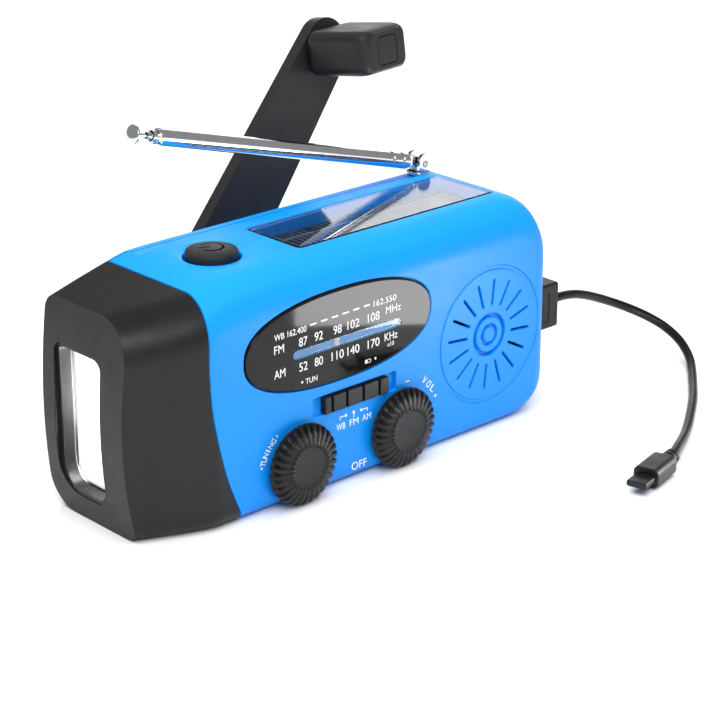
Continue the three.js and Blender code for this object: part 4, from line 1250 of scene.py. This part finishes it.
# ---- charging lead ----
PLUG_LOW, PLUG_HIGH = span("usb_plug")
CONNECTOR = {"at": (57.6, -65.9, 2.8), "heading": 195}


def lead_plug():
    """The plug's moulding with a finger panel on each side and its metal tongue."""
    y, z = PORT.y, PORT.z
    start, end = RIGHT + 0.5, PLUG_HIGH.x
    body = slab("lead_plug", centred(y, z, 3.5, 6.1, 0.8, 5), "X", start, end, 0.5)
    round_edges(body, 0.3, lambda p: p.x < start + 0.1)
    panel = rounded_rect(start + 3.4, end - 3.4, z - 4, z + 4, [0.8] * 4, 4)
    for side in (-1, 1):
        carve(body, pocket("panel", panel, "Y", y + side * 3.5, y + side * 3.3, 0.12))
    tongue = centred(y, z, 2.2, 5.8, 0.4, 3)
    fuse(body, prism("tongue", tongue, "X", PLUG_LOW.x, start + 0.3))
    return smooth(body)


def lead_connector():
    body = slab("lead_connector", rounded_rect(-3.3, 3.3, -2.4, 2.4, [1.5] * 4, 6), "X", 4.7, 15, 0.4)
    round_edges(body, 0.4, lambda p: p.x < 4.8)
    relief_profile = [(0.02, 0), (1.7, 0), (1.9, 0.2), (1.9, 1), (1.6, 1.15), (1.6, 1.6), (1.95, 1.75)]
    relief_profile += [(1.95, 2.6), (1.65, 2.75), (1.65, 3.2), (2.0, 3.35), (2.2, 5), (0.02, 5)]
    fuse(
        body,
        lathe("sleeve", "X", (0, 0, 0), relief_profile, 32),
        slab("tongue", rounded_rect(-2.6, 2.6, -0.8, 0.8, [0.5] * 4, 3), "X", 14.5, 20, 0.2),
    )
    turned = Matrix.Rotation(math.radians(CONNECTOR["heading"]), 4, "Z")
    return put(smooth(body), Matrix.Translation(Vector(CONNECTOR["at"]) * MM) @ turned)


def lead_cable():
    curve = bpy.data.curves.new("lead_cable", "CURVE")
    curve.dimensions = "3D"
    curve.bevel_depth = CORD_RADIUS * MM
    curve.bevel_resolution = 6
    curve.use_fill_caps = True
    points = spline(CORD_ROUTE, 6)
    line = curve.splines.new("POLY")
    line.points.add(len(points) - 1)
    for knot, point in zip(line.points, points):
        knot.co = (*(Vector(point) * MM), 1)
    line.use_smooth = True
    length = sum((Vector(a) - Vector(b)).length for a, b in zip(points, points[1:])) * MM
    return link("lead_cable", curve), length


def lamp(name, at, aim, size, power, glossy=True, diffuse=True):
    """A rectangular soft box, hidden from the camera."""
    data = bpy.data.lights.new(name, "AREA")
    data.shape = "RECTANGLE"
    data.size, data.size_y = size
    data.energy = power
    box = link(name, data)
    box.location = at
    box.rotation_euler = (Vector(aim) - Vector(at)).to_track_quat("-Z", "Y").to_euler()
    box.visible_camera = False
    box.visible_glossy = glossy
    box.visible_diffuse = diffuse


# ---- studio ----
def studio():
    """A pale floor that runs out of view, an even white surround and four soft boxes."""
    floor_mesh = bpy.data.meshes.new("floor")
    reach = 6
    corners = [(-reach, -reach, 0), (reach, -reach, 0), (reach, reach, 0), (-reach, reach, 0)]
    floor_mesh.from_pydata(corners, [], [(0, 1, 2, 3)])
    floor = link("floor", floor_mesh)
    material, tree, shader, place = graph("floor")
    vary(tree, shader, "Base Color", noise(tree, place, 4), grey(0.88), grey(0.9))
    shader.inputs["Roughness"].default_value = 0.6
    shader.inputs["Specular IOR Level"].default_value = 0.2
    floor.data.materials.append(material)
    world = bpy.data.worlds.new("surround")
    world.use_nodes = True
    world.node_tree.nodes["Background"].inputs["Color"].default_value = grey(1)
    world.node_tree.nodes["Background"].inputs["Strength"].default_value = 0.3
    bpy.context.scene.world = world
    # The two cards are seen only in glossy faces: the solar window and the dial.
    lamp("overhead", (0, 0, 1.1), (0, 0, 0), (1.6, 1.6), 26, glossy=False)
    lamp("key", (-0.45, -0.75, 0.8), (0, 0, 0.02), (0.5, 0.5), 5, glossy=True)
    lamp("window_card", (0.42, 0.34, 0.2), (0.02, 0, 0.057), (0.34, 0.3), 0.45, diffuse=False)
    lamp("dial_card", (0.075, -0.095, 0.012), (0.012, -0.02, 0.045), (0.05, 0.06), 0.1, diffuse=False)
    bpy.context.scene.view_settings.view_transform = "Standard"


# ---- assembly ----
make_camera()
cable, cable_length = lead_cable()
studio()
dress_frame()

plug = settle(lead_plug(), "lead", "black_plastic", PAINT["black_plastic"], "usb_plug")
connector = settle(lead_connector(), "lead", "black_plastic", PAINT["black_plastic"], "phone_connector")
settle(cable, "lead", "cable_black", PAINT["cable_black"], "usb_cord")
tuple(Vector(CORD_ROUTE[0]) * MM)

# The chrome reflector wears a glowing material: painted light standing in for the lamp's light on it.
settle(torch_dish(), "case", "chrome", PAINT["lit_dish"], "torch_reflector")

PIECES = [
    (front_shell, "case", "blue_shell", "front_shell"),
    (rear_cover, "case", "blue_shell", "rear_cover"),
    (torch_head, "case", "black_plastic", "torch_bezel"),
    (torch_glass, "case", "clear_plastic", "torch_lens"),
    (torch_lamp, "case", "led_yellow", "torch_led"),
    (solar_cover, "case", "clear_plastic", "solar_window"),
    (solar_cells, "case", "solar_cell", "solar_panel"),
    (torch_button, "torch_button", "grey_plastic", "torch_button"),
    (dial_face, "case", "dial_black", "dial_window"),
    (dial_strip, "case", "clear_plastic"),
    # the dial's backing glows blue: painted light
    (dial_glow, "case", "dial_blue", "dial_backing"),
    (dial_needle, "pointer", "pointer_white", "dial_pointer"),
    (dial_print, "case", "pointer_white"),
    (front_print, "case", "pointer_white"),
    (band_grip, "band", "black_plastic", "band_slider"),
    (speaker_basket, "case", "steel", "speaker_frame"),
    (speaker_membrane, "case", "speaker_paper", "speaker_cone"),
    (crank_boss, "crank", "grey_plastic", "crank_hub"),
    (crank_lever, "arm", "grey_plastic", "crank_arm"),
    (crank_grip, "handle", "grey_plastic", "crank_handle"),
    (grip_cap, "handle", "grey_plastic", "handle_cap"),
    (whip_swivel, "whip_base", "chrome", "antenna_swivel"),
    (whip_tube, "whip_1", "chrome", "antenna_tube_1"),
    (lambda: whip_stage(2, 10, 1.3), "whip_2", "chrome", "antenna_tube_2"),
    (lambda: whip_stage(3, 11, 2.6), "whip_3", "chrome", "antenna_tube_3"),
    (whip_rod, "whip_4", "chrome", "antenna_rod"),
    (whip_tip, "whip_4", "chrome", "antenna_tip"),
    (lambda: knob("knob_tuning", "tuning_knob"), "tuning", "black_plastic", "tuning_knob"),
    (lambda: knob("knob_volume", "volume_knob"), "volume", "black_plastic", "volume_knob"),
]
for build, body, slot, *replaced in PIECES:
    settle(build(), body, slot, PAINT[slot], *replaced)
for number, at in enumerate(SCREWS, 1):
    settle(cover_screw(number, at), "case", "steel", PAINT["steel"], f"cover_screw_{number}")

bpy.context.view_layer.update()
